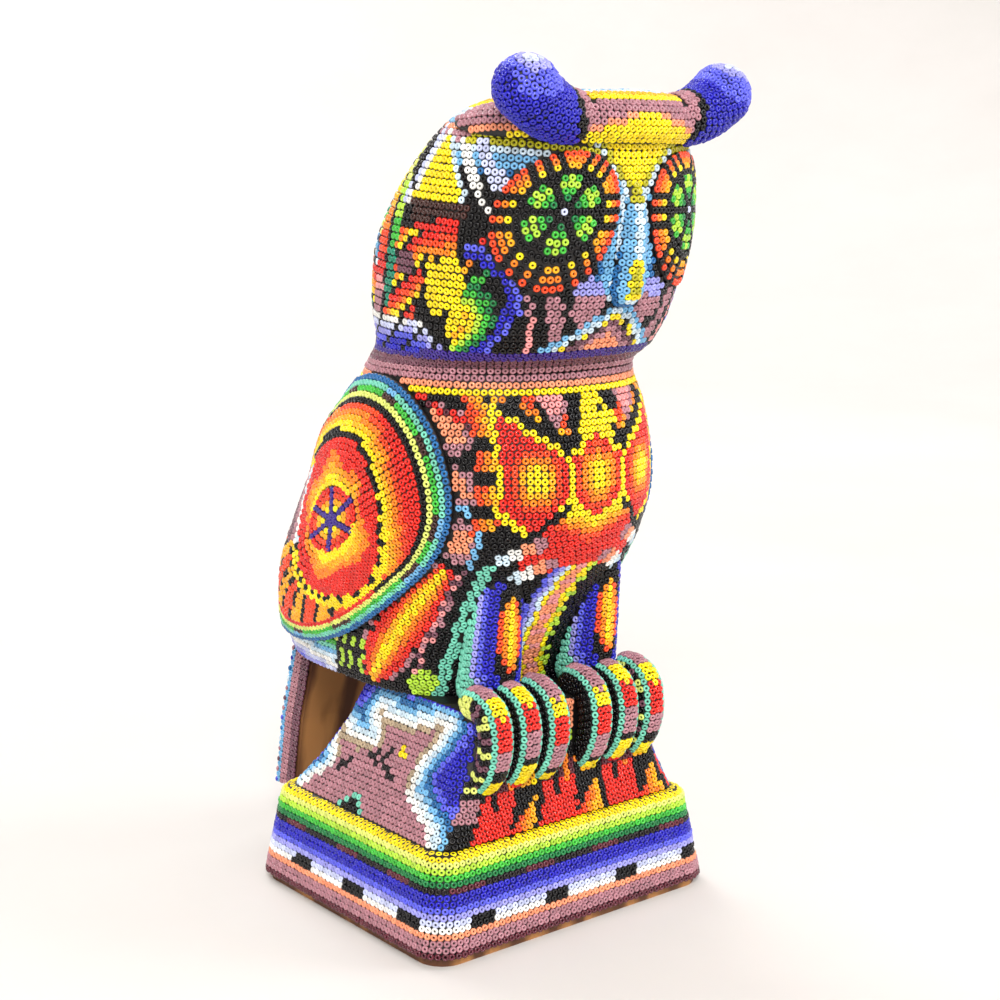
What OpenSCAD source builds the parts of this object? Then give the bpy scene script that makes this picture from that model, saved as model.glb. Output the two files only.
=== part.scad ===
// Beaded owl on a stepped perch: a carved wooden figure coated in wax and set all over with glass
// seed beads. The wood, the wax coats and every bead mosaic are separate pieces.
// Z is up, the owl faces -Y, and the underside of the plinth is at z = 0.

/* [Plinth and perch] */
// Width of the plinth at its foot, side to side (mm)
plinth_width = 105; // [85:1:130]
// Depth of the plinth at its foot, front to back (mm)
plinth_depth = 92; // [76:1:112]
// Height of the plinth (mm)
plinth_height = 29; // [23:0.5:36]
// How far the plinth slopes in on every side between foot and top (mm)
plinth_flare = 5; // [3:0.5:6]
// Radius of the plinth's corners, seen from above (mm)
corner_radius = 10; // [7:0.5:14]
// Height of the perch block that stands on the plinth (mm)
perch_height = 35; // [28:0.5:43]
// Width of the perch at its top, under the owl (mm)
perch_top_width = 61; // [50:1:74]
// Depth of the perch at its top, front to back (mm)
perch_top_depth = 57; // [47:1:69]

/* [Owl] */
// Height of the body from perch to neck (mm)
body_height = 93; // [76:1:114]
// Greatest width of the body without its wings (mm)
body_width = 84; // [74:1:106]
// Depth of the body from breast to rump (mm)
body_depth = 112; // [96:1:134]
// Height of the head above the neck (mm)
head_height = 73; // [60:1:88]
// Greatest width of the head (mm)
head_width = 82; // [72:1:102]
// Depth of the head from face to nape (mm)
head_depth = 81; // [72:1:100]
// How far the middle of the head lies in front of the middle of the plinth (mm)
head_forward = 16; // [14:1:26]
// Turn of the head to the owl's left (degrees)
head_turn = 3; // [-12:1:12]

/* [Features] */
// Radius of the round eye mosaics (mm)
eye_radius = 17.5; // [14:0.5:19]
// Span of the ear tufts, tip to tip (mm)
ear_span = 88; // [80:1:106]
// Radius of an ear tuft at its tip (mm)
ear_radius = 8.5; // [7:0.5:10.5]
// How far the brow stands out over the eyes (mm)
brow_rise = 5; // [3:0.5:7]
// How far the beak stands out of the face (mm)
beak_rise = 4.5; // [3:0.5:6]
// Half width of a wing across the side of the body (mm)
wing_reach = 38; // [31:1:44]
// How far a wing stands out of the body in its middle (mm)
wing_rise = 4.5; // [3:0.5:7]
// Distance between the middles of the two legs (mm)
leg_spacing = 36; // [36:1:44]
// Radius of a leg (mm)
leg_radius = 9; // [8:0.5:11]
// Radius of a toe (mm)
toe_radius = 4.9; // [4:0.1:5]
// Width of the tail slab (mm)
tail_width = 54; // [45:1:60]
// Thickness of the tail slab with its beads (mm)
tail_thickness = 10.5; // [8:0.5:13]
// Height of the tail's cut end above the floor (mm)
tail_end = 16; // [16:1:30]

/* [Coats] */
// Thickness of the wax on the wood (mm)
wax_depth = 0.8; // [0.6:0.1:1]
// Height of the bead layer on the wax (mm)
bead_height = 1.3; // [1:0.1:1.6]
// Height of the bare wooden rim under the plinth's beads (mm)
rim_height = 2.5; // [1.5:0.5:4]

/* [Hidden] */
$fn = 24;
// clearance between a raised piece and the coat that it sits on
fit_gap = 0.1;
pad_gap = 0.3;
coat = wax_depth + bead_height;
plinth_top = plinth_height;
perch_top = plinth_top + perch_height;
neck_z = perch_top + body_height;
segments = 36;
body_steps = 26;
// steps on each straight half side and on each corner of the square base
side_steps = 2;
corner_steps = 5;

// Body stations, bottom to neck: height, half width, front and back as shares of the sizes above,
// and squareness
torso_form = [
    [0.00, 0.82, -0.18, 0.585, 3.2],
    [0.08, 0.90, -0.20, 0.605, 3.0],
    [0.18, 0.96, -0.245, 0.60, 2.7],
    [0.33, 1.00, -0.32, 0.575, 2.5],
    [0.48, 1.00, -0.405, 0.515, 2.4],
    [0.62, 1.00, -0.45, 0.45, 2.3],
    [0.76, 0.98, -0.45, 0.40, 2.3],
    [0.88, 0.93, -0.425, 0.315, 2.3],
    [1.00, 0.87, -0.385, 0.24, 2.3]
];
// Head stations, neck to crown, about the head's own middle
head_form = [
    [0.09, 0.90, -0.415, 0.45],
    [0.24, 0.96, -0.49, 0.45],
    [0.45, 1.00, -0.53, 0.405],
    [0.62, 0.975, -0.545, 0.31],
    [0.76, 0.91, -0.555, 0.21],
    [0.87, 0.82, -0.55, 0.11],
    [0.95, 0.68, -0.52, 0.01],
    [1.00, 0.42, -0.43, -0.12]
];

// Every station in mm: height, half width, front, back, squareness, turn
function torso_station(s) = [
    perch_top + s[0] * body_height,
    s[1] * body_width / 2,
    s[2] * body_depth,
    s[3] * body_depth,
    s[4],
    0
];
function head_station(s) = [
    neck_z + s[0] * head_height,
    s[1] * head_width / 2,
    s[2] * head_depth - head_forward,
    s[3] * head_depth - head_forward,
    2.5,
    head_turn * min(1, 0.3 + 3 * s[0])
];
stations = concat([for (s = torso_form) torso_station(s)], [for (s = head_form) head_station(s)]);
last = len(stations) - 1;
neck_v = len(torso_form) - 1;

// Smooth curve through the stations
function curve(a, b, c, d, t) =
    0.5 * (2 * b + (c - a) * t + (2 * a - 5 * b + 4 * c - d) * t * t
    + (3 * b - a - 3 * c + d) * t * t * t);
function station(v) =
    let (w = max(0, min(last, v)))
    let (i = min(last - 1, floor(w)))
    let (a = stations[max(0, i - 1)])
    let (d = stations[min(last, i + 2)])
    curve(a, stations[i], stations[i + 1], d, w - i);

// Distance from the middle to a rounded outline in the direction u
function reach(u, a, b, n) =
    1 / pow(pow(abs(cos(u)) / a, n) + pow(abs(sin(u)) / b, n), 1 / n);
function turned(p, angle) = [
    p[0] * cos(angle) - (p[1] + head_forward) * sin(angle),
    p[0] * sin(angle) + (p[1] + head_forward) * cos(angle) - head_forward,
    p[2]
];

// Point on the owl's bead surface: u is the direction around (270 is the front), v the station
function on_owl(u, v) =
    let (s = station(v))
    let (b = (s[3] - s[2]) / 2)
    let (r = reach(u, s[1], b, s[4]))
    turned([r * cos(u), (s[3] + s[2]) / 2 + r * sin(u), s[0]], s[5]);
function unit(p) = p / max(norm(p), 0.000001);
function along_u(u, v) = (on_owl(u + 1, v) - on_owl(u - 1, v)) / 2;
function along_v(u, v) =
    (on_owl(u, min(last, v + 0.1)) - on_owl(u, max(0, v - 0.1)))
    / (min(last, v + 0.1) - max(0, v - 0.1));
function outward(u, v) = unit(cross(along_u(u, v), along_v(u, v)));
function lifted(u, v, h) = on_owl(u, v) + h * outward(u, v);

// Surface of the owl as rows of points at a height h above its bead surface
row_v = [for (j = [0 : body_steps]) j * last / body_steps];
function owl_row(v, h) = [for (i = [0 : segments - 1]) lifted(i * 360 / segments, v, h)];
function owl_rows(j0, j1, h) = [for (j = [j0 : j1]) owl_row(row_v[j], h)];

// Side and corner points of the square base at height z, h above its bead surface
base_form = [
    [rim_height, 0, 0],
    [rim_height + 0.45 * (plinth_height - rim_height), 0.42, 0],
    [plinth_height - 1.5, 0.9, 0],
    [plinth_height, 1.15, 0],
    [plinth_height + 0.5, 1, 1],
    [plinth_top + 0.3 * perch_height, 1, 0.62],
    [plinth_top + 0.65 * perch_height, 1, 0.26],
    [perch_top, 1, 0]
];
perch_foot_inset = 2.5;
perch_lean = 9;
// half width, half depth, middle in y and corner radius at a row of the base
function base_size(f) =
    let (in = plinth_flare * min(1, f[1]) + (f[1] > 1 ? 1 : 0))
    f[0] <= plinth_height
    ? [plinth_width / 2 - in, plinth_depth / 2 - in, 0, corner_radius - in / 2]
    : let (k = f[2])
      let (w0 = plinth_width / 2 - plinth_flare - perch_foot_inset)
      let (d0 = plinth_depth / 2 - plinth_flare - perch_foot_inset)
      [
        k * w0 + (1 - k) * perch_top_width / 2,
        k * d0 + (1 - k) * perch_top_depth / 2,
        -(1 - k) * perch_lean,
        corner_radius - 2.5
      ];
function quarter(a, b, r) = concat(
    [for (i = [0 : side_steps - 1]) [a, (b - r) * i / side_steps]],
    [for (i = [0 : corner_steps]) [a - r, b - r] + r * [cos(90 * i / corner_steps), sin(90 * i / corner_steps)]],
    [for (i = [1 : side_steps - 1]) [(a - r) * (1 - i / side_steps), b]]
);
function flip(p, q) = q == 0 ? p : q == 1 ? [-p[1], p[0]] : q == 2 ? -p : [p[1], -p[0]];
function outline(a, b, r) = [
    for (q = [0 : 3])
        for (p = q % 2 == 0 ? quarter(a, b, r) : quarter(b, a, r))
            flip(p, q)
];
function base_row(j, h) =
    let (s = base_size(base_form[j]))
    let (rise = j == 3 ? h * 0.4 : 0)
    [for (p = outline(s[0] + h, s[1] + h, max(2, s[3] + h))) [p[0], p[1] + s[2], base_form[j][0] + rise]];
function base_rows(j0, j1, h) = [for (j = [j0 : j1]) base_row(j, h)];
around_base = 4 * (2 * side_steps + corner_steps);

function flat(rows) = [for (r = rows) for (p = r) p];

// Closed solid from a stack of rings
module stack(rows) {
    n = len(rows[0]);
    m = len(rows);
    sides = [
        for (j = [0 : m - 2])
            for (i = [0 : n - 1])
                for (k = [0 : 1])
                    k == 0
                    ? [j * n + i, (j + 1) * n + i, (j + 1) * n + (i + 1) % n]
                    : [j * n + i, (j + 1) * n + (i + 1) % n, j * n + (i + 1) % n]
    ];
    bottom = [for (i = [0 : n - 1]) i];
    top = [for (i = [0 : n - 1]) m * n - 1 - i];
    polyhedron(points = flat(rows), faces = concat([bottom], sides, [top]), convexity = 8);
}

// Shell between an inner and an outer grid of points; a ring when wrap is true, a patch when false
module shell(inner, outer, wrap) {
    n = len(inner[0]);
    m = len(inner);
    o = n * m;
    cols = wrap ? n : n - 1;
    out = [
        for (j = [0 : m - 2])
            for (i = [0 : cols - 1])
                let (a = j * n + i)
                let (b = j * n + (i + 1) % n)
                for (k = [0 : 1])
                    k == 0 ? [a, a + n, b + n] : [a, b + n, b]
    ];
    into = [for (f = out) [f[2] + o, f[1] + o, f[0] + o]];
    low = [
        for (i = [0 : cols - 1])
            let (b = (i + 1) % n)
            for (k = [0 : 1])
                k == 0 ? [i, b, b + o] : [i, b + o, i + o]
    ];
    t = (m - 1) * n;
    high = [
        for (i = [0 : cols - 1])
            let (b = (i + 1) % n)
            for (k = [0 : 1])
                k == 0 ? [t + i, t + i + o, t + b + o] : [t + i, t + b + o, t + b]
    ];
    e = n - 1;
    ends = wrap ? [] : [
        for (j = [0 : m - 2])
            let (a = j * n)
            let (b = a + n)
            for (f = [[a, a + o, b + o], [a, b + o, b], [a + e, b + e + o, a + e + o], [a + e, b + e, b + e + o]])
                f
    ];
    polyhedron(
        points = concat(flat(outer), flat(inner)),
        faces = concat(out, into, low, high, ends),
        convexity = 8
    );
}

// Part of every row, from column i0 to column i1, going round past the first column
function columns(rows, i0, i1) = [for (r = rows) [for (i = [i0 : i1]) r[(i + len(r)) % len(r)]]];

// Bead mosaic over part of the owl: rows j0 to j1, columns i0 to i1
module owl_panel(j0, j1, i0, i1) {
    shell(
        columns(owl_rows(j0, j1, -bead_height), i0, i1),
        columns(owl_rows(j0, j1, 0), i0, i1),
        false
    );
}
module owl_ring(j0, j1) {
    shell(owl_rows(j0, j1, -bead_height), owl_rows(j0, j1, 0), true);
}
module base_panel(j0, j1, i0, i1) {
    shell(
        columns(base_rows(j0, j1, -bead_height), i0, i1),
        columns(base_rows(j0, j1, 0), i0, i1),
        false
    );
}
module base_ring(j0, j1) {
    shell(base_rows(j0, j1, -bead_height), base_rows(j0, j1, 0), true);
}

// Solid of the owl and of the base with h added all round, used to trim what is set on them
module owl_solid(h) {
    stack(owl_rows(0, body_steps, h));
}
module base_solid(h) {
    stack(base_rows(0, len(base_form) - 1, h));
}

// Raised pad on the owl: middle (uc, vc), half sizes in mm, a lean of the middle with height,
// and its height above the coat from the share r0 of the way out to the share r1
pad_spokes = 26;
function pad_uv(c, size, lean, r, a) =
    let (dv = r * sin(a) * (sin(a) > 0 ? size[1] : size[2]) / norm(along_v(c[0], c[1])))
    let (du = r * cos(a) * size[0] / norm(along_u(c[0], c[1])))
    [c[0] + du + lean * (dv < 0 ? -dv * dv : 0), c[1] + dv];
function pad_point(c, size, lean, r, a, h) =
    let (q = pad_uv(c, size, lean, r, a))
    lifted(q[0], q[1], h);
function dome(r, rim, rise) = rim + (rise - rim) * (1 - pow(r, 2.6));
module pad(c, size, lean, r0, r1, rim, rise, rings) {
    radii = [for (k = [0 : rings]) r0 + (r1 - r0) * k / rings];
    upper = [
        for (r = radii)
            [for (i = [0 : pad_spokes - 1])
                pad_point(c, size, lean, max(r, 0.02), i * 360 / pad_spokes, pad_gap + dome(r, rim, rise))]
    ];
    lower = [
        for (r = radii)
            [for (i = [0 : pad_spokes - 1])
                pad_point(c, size, lean, max(r, 0.02), i * 360 / pad_spokes, pad_gap)]
    ];
    if (r0 == 0) {
        stack_pair(lower, upper);
    } else {
        ring_pair(lower, upper);
    }
}
// Disc between two matching nets of rings that start at the middle
module stack_pair(lower, upper) {
    n = len(upper[0]);
    m = len(upper);
    o = n * m;
    net = [
        for (j = [0 : m - 2])
            for (i = [0 : n - 1])
                let (a = j * n + i)
                let (b = j * n + (i + 1) % n)
                for (k = [0 : 1])
                    k == 0 ? [a, b + n, a + n] : [a, b, b + n]
    ];
    back = [for (f = net) [f[2] + o, f[1] + o, f[0] + o]];
    t = (m - 1) * n;
    rim = [
        for (i = [0 : n - 1])
            let (b = (i + 1) % n)
            for (k = [0 : 1])
                k == 0 ? [t + i, t + b, t + b + o] : [t + i, t + b + o, t + i + o]
    ];
    eye = [for (i = [0 : n - 1]) n - 1 - i];
    polyhedron(
        points = concat(flat(upper), flat(lower)),
        faces = concat(net, back, rim, [eye], [[for (i = [0 : n - 1]) i + o]]),
        convexity = 8
    );
}
// Ring between two matching nets of rings that start away from the middle
module ring_pair(lower, upper) {
    n = len(upper[0]);
    m = len(upper);
    o = n * m;
    net = [
        for (j = [0 : m - 2])
            for (i = [0 : n - 1])
                let (a = j * n + i)
                let (b = j * n + (i + 1) % n)
                for (k = [0 : 1])
                    k == 0 ? [a, b + n, a + n] : [a, b, b + n]
    ];
    back = [for (f = net) [f[2] + o, f[1] + o, f[0] + o]];
    t = (m - 1) * n;
    rims = [
        for (i = [0 : n - 1])
            let (b = (i + 1) % n)
            for (f = [
                [t + i, t + b, t + b + o],
                [t + i, t + b + o, t + i + o],
                [i, b + o, b],
                [i, i + o, b + o]
            ])
                f
    ];
    polyhedron(points = concat(flat(upper), flat(lower)), faces = concat(net, back, rims), convexity = 8);
}

// Where the raised pieces sit on the owl, as [direction, station]
eye_v = 11.78;
function eye_spot(side) = [270 + side * 35, eye_v];
brow_spot = [270, 14.25];
brow_size = [46, 8.2, 5.2];
function wing_spot(side) = [270 + side * 98, 4.4];
wing_size = [wing_reach, 0.53 * body_height, 0.50 * body_height];
function wing_lean(side) = -side * 2.1;
wing_split = 0.74;

module eye(side) {
    size = [eye_radius, eye_radius, eye_radius];
    pad(eye_spot(side), size, 0, 0, 1, 0.7, 1.6, 3);
}
module brow_pad(extra) {
    size = [brow_size[0] + extra, brow_size[1] + extra, brow_size[2] + extra];
    pad(brow_spot, size, 0, 0, 1, 1 + extra, brow_rise + extra, 5);
}

// Chain of balls: each point is [x, y, z, radius]
module chain(points, sides) {
    for (i = [0 : len(points) - 2]) {
        hull() {
            translate([points[i][0], points[i][1], points[i][2]]) sphere(points[i][3], $fn = sides);
            translate([points[i + 1][0], points[i + 1][1], points[i + 1][2]]) sphere(points[i + 1][3], $fn = sides);
        }
    }
}
module with_head() {
    translate([0, -head_forward, 0]) rotate([0, 0, head_turn]) children();
}

// Ear tuft: a horn that leaves the brow sideways and ends in a round knob
ear_y = -0.5 * head_depth;
ear_z = neck_z + head_height;
function ear_points(side, extra) =
    let (x1 = ear_span / 2 - ear_radius)
    [for (k = [0 : 8])
        let (t = k / 8)
        [side * (19 + (x1 - 19) * t), ear_y + 0.5 - t, ear_z - 7 + 6.5 * t * t, ear_radius * (0.84 + 0.16 * t) + extra]];
module ear(side) {
    union() {
        difference() {
            with_head() chain(ear_points(side, 0), 16);
            owl_solid(fit_gap);
        }
    }
}

// Beak: a ridge down the middle of the face that swells to a rounded tip
beak_top = neck_z + 0.665 * head_height;
beak_low = neck_z + 0.32 * head_height;
function face_y(t) = -(0.545 - 0.035 * t * t) * head_depth;
beak_points = [
    for (k = [0 : 8])
        let (t = k / 8)
        let (r = 3.2 + 2.6 * t)
        [0, face_y(t) + r - 1 - (beak_rise - 1) * sqrt(t), beak_top + (beak_low - beak_top) * t, r]
];
module beak() {
    union() {
        difference() {
            with_head() chain(beak_points, 16);
            owl_solid(fit_gap);
            brow_pad(fit_gap);
            eye_trim(-1);
            eye_trim(1);
        }
    }
}
module eye_trim(side) {
    size = (eye_radius + fit_gap) * [1, 1, 1];
    pad(eye_spot(side), size, 0, 0, 1, 0.8, 1.7, 3);
}

// Legs: short columns at the front of the body, standing on the perch's front edge
leg_y = -0.235 * body_depth;
leg_top = perch_top + 0.38 * body_height;
leg_foot = perch_top + 5;
function leg_points(side) = [
    for (k = [0 : 8])
        let (t = k / 8)
        [side * leg_spacing / 2, leg_y - 3 + 4 * t, leg_top + (leg_foot - leg_top) * t, leg_radius * (0.82 + 0.18 * t)]
];
module leg(side) {
    union() {
        difference() {
            chain(leg_points(side), 16);
            owl_solid(fit_gap);
            base_solid(fit_gap);
            translate([0, 0, perch_top - 20]) cube([200, 200, 40.2], center = true);
        }
    }
}

// Toes: each arches forward from the leg's foot and curls down over the perch's front
toe_step = 2 * toe_radius + 0.3;
toe_front = leg_y - 15;
toe_tip = perch_top - 18.5;
function toe_path(x) =
    let (z = perch_top + 3.5)
    [
        [x, leg_y - 6.5, z, toe_radius],
        [x, toe_front + 6, z, toe_radius],
        [x, toe_front + 2.4, z - 1.6, toe_radius],
        [x, toe_front + 0.6, z - 4.6, toe_radius],
        [x, toe_front, z - 8.5, toe_radius],
        [x, toe_front + 0.5, z - 12.5, toe_radius],
        [x, toe_front + 2, z - 16.5, toe_radius],
        [x, toe_front + 4.5, toe_tip + 2, 0.96 * toe_radius],
        [x, toe_front + 7, toe_tip, 0.9 * toe_radius]
    ];
module toe(side, n) {
    union() {
        difference() {
            chain(toe_path(side * leg_spacing / 2 + n * toe_step), 14);
            owl_solid(fit_gap);
            base_solid(fit_gap);
            leg_trim(side);
        }
    }
}
module leg_trim(side) {
    hull() {
        for (p = leg_points(side)) {
            translate([p[0], p[1], p[2]]) sphere(p[3] + fit_gap, $fn = 16);
        }
    }
}

// Tail: a slab that hangs from the rump behind the perch, bare inside and at its end
tail_back = 0.545 * body_depth;
tail_out = 12;
tail_drop = perch_top - tail_end;
tail_top = perch_top - fit_gap;
module tail_side(from, to) {
    polygon([
        [tail_back - tail_thickness + from, tail_top],
        [tail_back - tail_thickness + 0.62 * tail_out + from, perch_top - 0.5 * tail_drop],
        [tail_back - tail_thickness + tail_out + from, tail_end],
        [tail_back + tail_out - to, tail_end],
        [tail_back + 0.62 * tail_out - to, perch_top - 0.5 * tail_drop],
        [tail_back - to, tail_top]
    ]);
}
module tail_block(width, from, to) {
    rotate([90, 0, 90]) translate([0, 0, -width / 2]) linear_extrude(width) tail_side(from, to);
}

// Carved wood: base, body, neck and head in one block
module wood_core() {
    color("saddlebrown") {
        stack(concat(
            base_rows(0, len(base_form) - 1, -coat),
            owl_rows(0, body_steps, -coat)
        ));
    }
}
module plinth_rim() {
    w = plinth_width - 2 * coat;
    d = plinth_depth - 2 * coat;
    r = corner_radius - coat;
    color("saddlebrown") {
        linear_extrude(rim_height) {
            square([w - 2 * r, d], center = true);
            square([w, d - 2 * r], center = true);
            for (x = [-1, 1], y = [-1, 1]) {
                translate([x * (w / 2 - r), y * (d / 2 - r)]) circle(r, $fn = 96);
            }
        }
    }
}
module tail_wood() {
    color("peru") tail_block(tail_width - 2 * bead_height, 0, bead_height);
}

// Wax coats between the wood and the beads
module base_wax() {
    color("darkslategray") {
        shell(base_rows(0, 7, -coat), base_rows(0, 7, -bead_height), true);
    }
}
module body_wax() {
    color("darkslategray") {
        shell(owl_rows(0, neck_row, -coat), owl_rows(0, neck_row, -bead_height), true);
    }
}
module head_wax() {
    color("darkslategray") {
        shell(owl_rows(neck_row, body_steps, -coat), owl_rows(neck_row, body_steps, -bead_height), true);
    }
}

// Rows and columns at which the mosaics meet
neck_row = 12;
band_row = 14;
belly_row = 6;
crown_row = 24;

// Plinth bands
module plinth_lower_bands() {
    color("rosybrown") base_ring(0, 1);
}
module plinth_upper_bands() {
    color("mediumblue") base_ring(1, 2);
}
module plinth_edge_bands() {
    color("gold") base_ring(2, 4);
}
// Perch mosaics: columns run round from the middle of the owl's left side
module perch_left_panel() {
    color("royalblue") base_panel(4, 7, -5, 5);
}
module perch_back_panel() {
    color("mediumpurple") base_panel(4, 7, 5, 13);
}
module perch_right_panel() {
    color("royalblue") base_panel(4, 7, 13, 23);
}
module perch_front_panel() {
    color("firebrick") base_panel(4, 7, 23, 31);
}

// Body mosaics
module chest_eagle_panel() {
    color("red") owl_panel(belly_row, neck_row, 23, 31);
}
module belly_panel() {
    color("salmon") owl_panel(0, belly_row, 23, 31);
}
module body_left_panel() {
    color("black") owl_panel(0, neck_row, 31, 39);
}
module body_right_panel() {
    color("black") owl_panel(0, neck_row, 15, 23);
}
module back_panel() {
    color("indigo") owl_panel(0, neck_row, 3, 15);
}
module neck_bands() {
    color("yellow") owl_ring(neck_row, band_row);
}

// Head mosaics
module face_panel() {
    color("black") owl_panel(band_row, crown_row, 22, 32);
}
module head_left_panel() {
    color("darkorange") owl_panel(band_row, crown_row, 32, 38);
}
module head_right_panel() {
    color("darkorange") owl_panel(band_row, crown_row, 16, 22);
}
module nape_panel() {
    color("green") owl_panel(band_row, crown_row, 2, 16);
}
module crown_panel() {
    color("khaki") owl_ring(crown_row, body_steps);
}
module crown_top() {
    color("khaki") {
        stack([
            owl_row(last, -coat),
            owl_row(last, 0),
            [for (p = owl_row(last, 0))
                let (m = on_owl(90, last) + on_owl(270, last))
                [0.5 * p[0] + 0.25 * m[0], 0.5 * p[1] + 0.25 * m[1], p[2] + 1]]
        ]);
    }
}
module eye_left() {
    color("orangered") eye(1);
}
module eye_right() {
    color("orangered") eye(-1);
}
module brow() {
    color("rosybrown") {
        union() {
            difference() {
                brow_pad(0);
                for (side = [-1, 1]) {
                    with_head() chain(ear_points(side, fit_gap), 16);
                }
            }
        }
    }
}
module ear_left() {
    color("mediumblue") ear(1);
}
module ear_right() {
    color("mediumblue") ear(-1);
}
module beak_ridge() {
    color("lightskyblue") beak();
}

// Wings: a field and the banded border round it
module wing_field(side) {
    pad(wing_spot(side), wing_size, wing_lean(side), 0, wing_split, 2.2, wing_rise, 5);
}
module wing_border(side) {
    pad(wing_spot(side), wing_size, wing_lean(side), wing_split, 1, 1.6, wing_rise, 2);
}
module wing_left_field() {
    color("tomato") wing_field(1);
}
module wing_right_field() {
    color("tomato") wing_field(-1);
}
module wing_left_border() {
    color("limegreen") wing_border(1);
}
module wing_right_border() {
    color("limegreen") wing_border(-1);
}

module leg_left() {
    color("slateblue") leg(1);
}
module leg_right() {
    color("slateblue") leg(-1);
}
module toe_left_inner() {
    color("turquoise") toe(1, -1);
}
module toe_left_middle() {
    color("turquoise") toe(1, 0);
}
module toe_left_outer() {
    color("turquoise") toe(1, 1);
}
module toe_right_inner() {
    color("turquoise") toe(-1, 1);
}
module toe_right_middle() {
    color("turquoise") toe(-1, 0);
}
module toe_right_outer() {
    color("turquoise") toe(-1, -1);
}
module tail_beads() {
    color("thistle") {
        difference() {
            tail_block(tail_width, 0, 0);
            tail_block(tail_width - 2 * bead_height, -20, bead_height);
        }
    }
}

// piece to draw

wood_core();
plinth_rim();
tail_wood();
base_wax();
body_wax();
head_wax();
plinth_lower_bands();
plinth_upper_bands();
plinth_edge_bands();
perch_left_panel();
perch_back_panel();
perch_right_panel();
perch_front_panel();
chest_eagle_panel();
belly_panel();
body_left_panel();
body_right_panel();
back_panel();
neck_bands();
face_panel();
head_left_panel();
head_right_panel();
nape_panel();
crown_panel();
crown_top();
eye_left();
eye_right();
brow();
ear_left();
ear_right();
beak_ridge();
wing_left_field();
wing_right_field();
wing_left_border();
wing_right_border();
leg_left();
leg_right();
toe_left_inner();
toe_left_middle();
toe_left_outer();
toe_right_inner();
toe_right_middle();
toe_right_outer();
tail_beads();
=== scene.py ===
"""Beaded owl on a stepped base: every glass bead is a closed ring pressed into wax, whose near-black colour is
partly painted shade of the gaps and holes between beads.
"""

import math

import bpy
import numpy as np
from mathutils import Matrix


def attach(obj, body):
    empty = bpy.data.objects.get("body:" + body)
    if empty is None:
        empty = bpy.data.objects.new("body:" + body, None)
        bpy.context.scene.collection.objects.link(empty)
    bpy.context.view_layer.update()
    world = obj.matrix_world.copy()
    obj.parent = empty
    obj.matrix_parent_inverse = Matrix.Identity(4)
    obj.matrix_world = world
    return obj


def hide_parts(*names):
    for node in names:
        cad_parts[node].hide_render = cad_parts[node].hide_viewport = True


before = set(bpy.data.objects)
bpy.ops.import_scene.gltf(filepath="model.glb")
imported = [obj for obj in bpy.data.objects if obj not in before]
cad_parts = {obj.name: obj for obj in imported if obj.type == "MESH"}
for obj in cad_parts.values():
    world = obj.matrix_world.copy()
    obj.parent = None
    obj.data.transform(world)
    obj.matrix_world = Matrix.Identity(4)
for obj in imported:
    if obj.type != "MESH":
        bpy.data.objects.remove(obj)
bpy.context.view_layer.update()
rng = np.random.default_rng(11)

# ------------ sizes in mm, as in the CAD source
PLINTH_W, PLINTH_D, PLINTH_H, FLARE, CORNER = 105.0, 92.0, 29.0, 5.0, 10.0
PERCH_H, PERCH_TW, PERCH_TD, PERCH_LEAN, PERCH_INSET = 35.0, 61.0, 57.0, 9.0, 2.5
BODY_H, BODY_W, BODY_D = 93.0, 84.0, 112.0
HEAD_H, HEAD_W, HEAD_D, HEAD_FWD, HEAD_TURN = 73.0, 82.0, 81.0, 16.0, 3.0
EYE_R, EAR_SPAN, EAR_R = 17.5, 88.0, 8.5
LEG_SPACING, LEG_R, TOE_R = 36.0, 9.0, 4.9
TAIL_W, TAIL_END, TAIL_OUT = 54.0, 16.0, 12.0
RIM = 2.5
PERCH_TOP = PLINTH_H + PERCH_H
NECK_Z = PERCH_TOP + BODY_H
PAD_GAP = 0.3
PITCH, ROW = 2.03, 1.79
LID_ROW, WING_ROW = 1.85, 1.84
WAX_DROP = 0.66  # the wax lies this far under the bead surface
PAD_TRIM, PAD_ROOT = 0.25, 1.2  # wax of a pad: in from its edge, down into the body
TUBE_STEPS = 201

TORSO = [
    [0.00, 0.82, -0.18, 0.585, 3.2], [0.08, 0.90, -0.20, 0.605, 3.0], [0.18, 0.96, -0.245, 0.60, 2.7],
    [0.33, 1.00, -0.32, 0.575, 2.5], [0.48, 1.00, -0.405, 0.515, 2.4], [0.62, 1.00, -0.45, 0.45, 2.3],
    [0.76, 0.98, -0.45, 0.40, 2.3], [0.88, 0.93, -0.425, 0.315, 2.3], [1.00, 0.87, -0.385, 0.24, 2.3],
]
HEAD = [
    [0.09, 0.90, -0.415, 0.45], [0.24, 0.96, -0.49, 0.45], [0.45, 1.00, -0.53, 0.405],
    [0.62, 0.975, -0.545, 0.31], [0.76, 0.91, -0.555, 0.21], [0.87, 0.82, -0.55, 0.11],
    [0.95, 0.68, -0.52, 0.01], [1.00, 0.42, -0.43, -0.12],
]
STATIONS = np.array(
    [[PERCH_TOP + s[0] * BODY_H, s[1] * BODY_W / 2, s[2] * BODY_D, s[3] * BODY_D, s[4], 0] for s in TORSO]
    + [[NECK_Z + s[0] * HEAD_H, s[1] * HEAD_W / 2, s[2] * HEAD_D - HEAD_FWD, s[3] * HEAD_D - HEAD_FWD, 2.5,
        HEAD_TURN * min(1, 0.3 + 3 * s[0])] for s in HEAD])
LAST = len(STATIONS) - 1
NECK_V = 8.0
ROW_V = LAST / 26.0  # one CAD row, in stations


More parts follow.
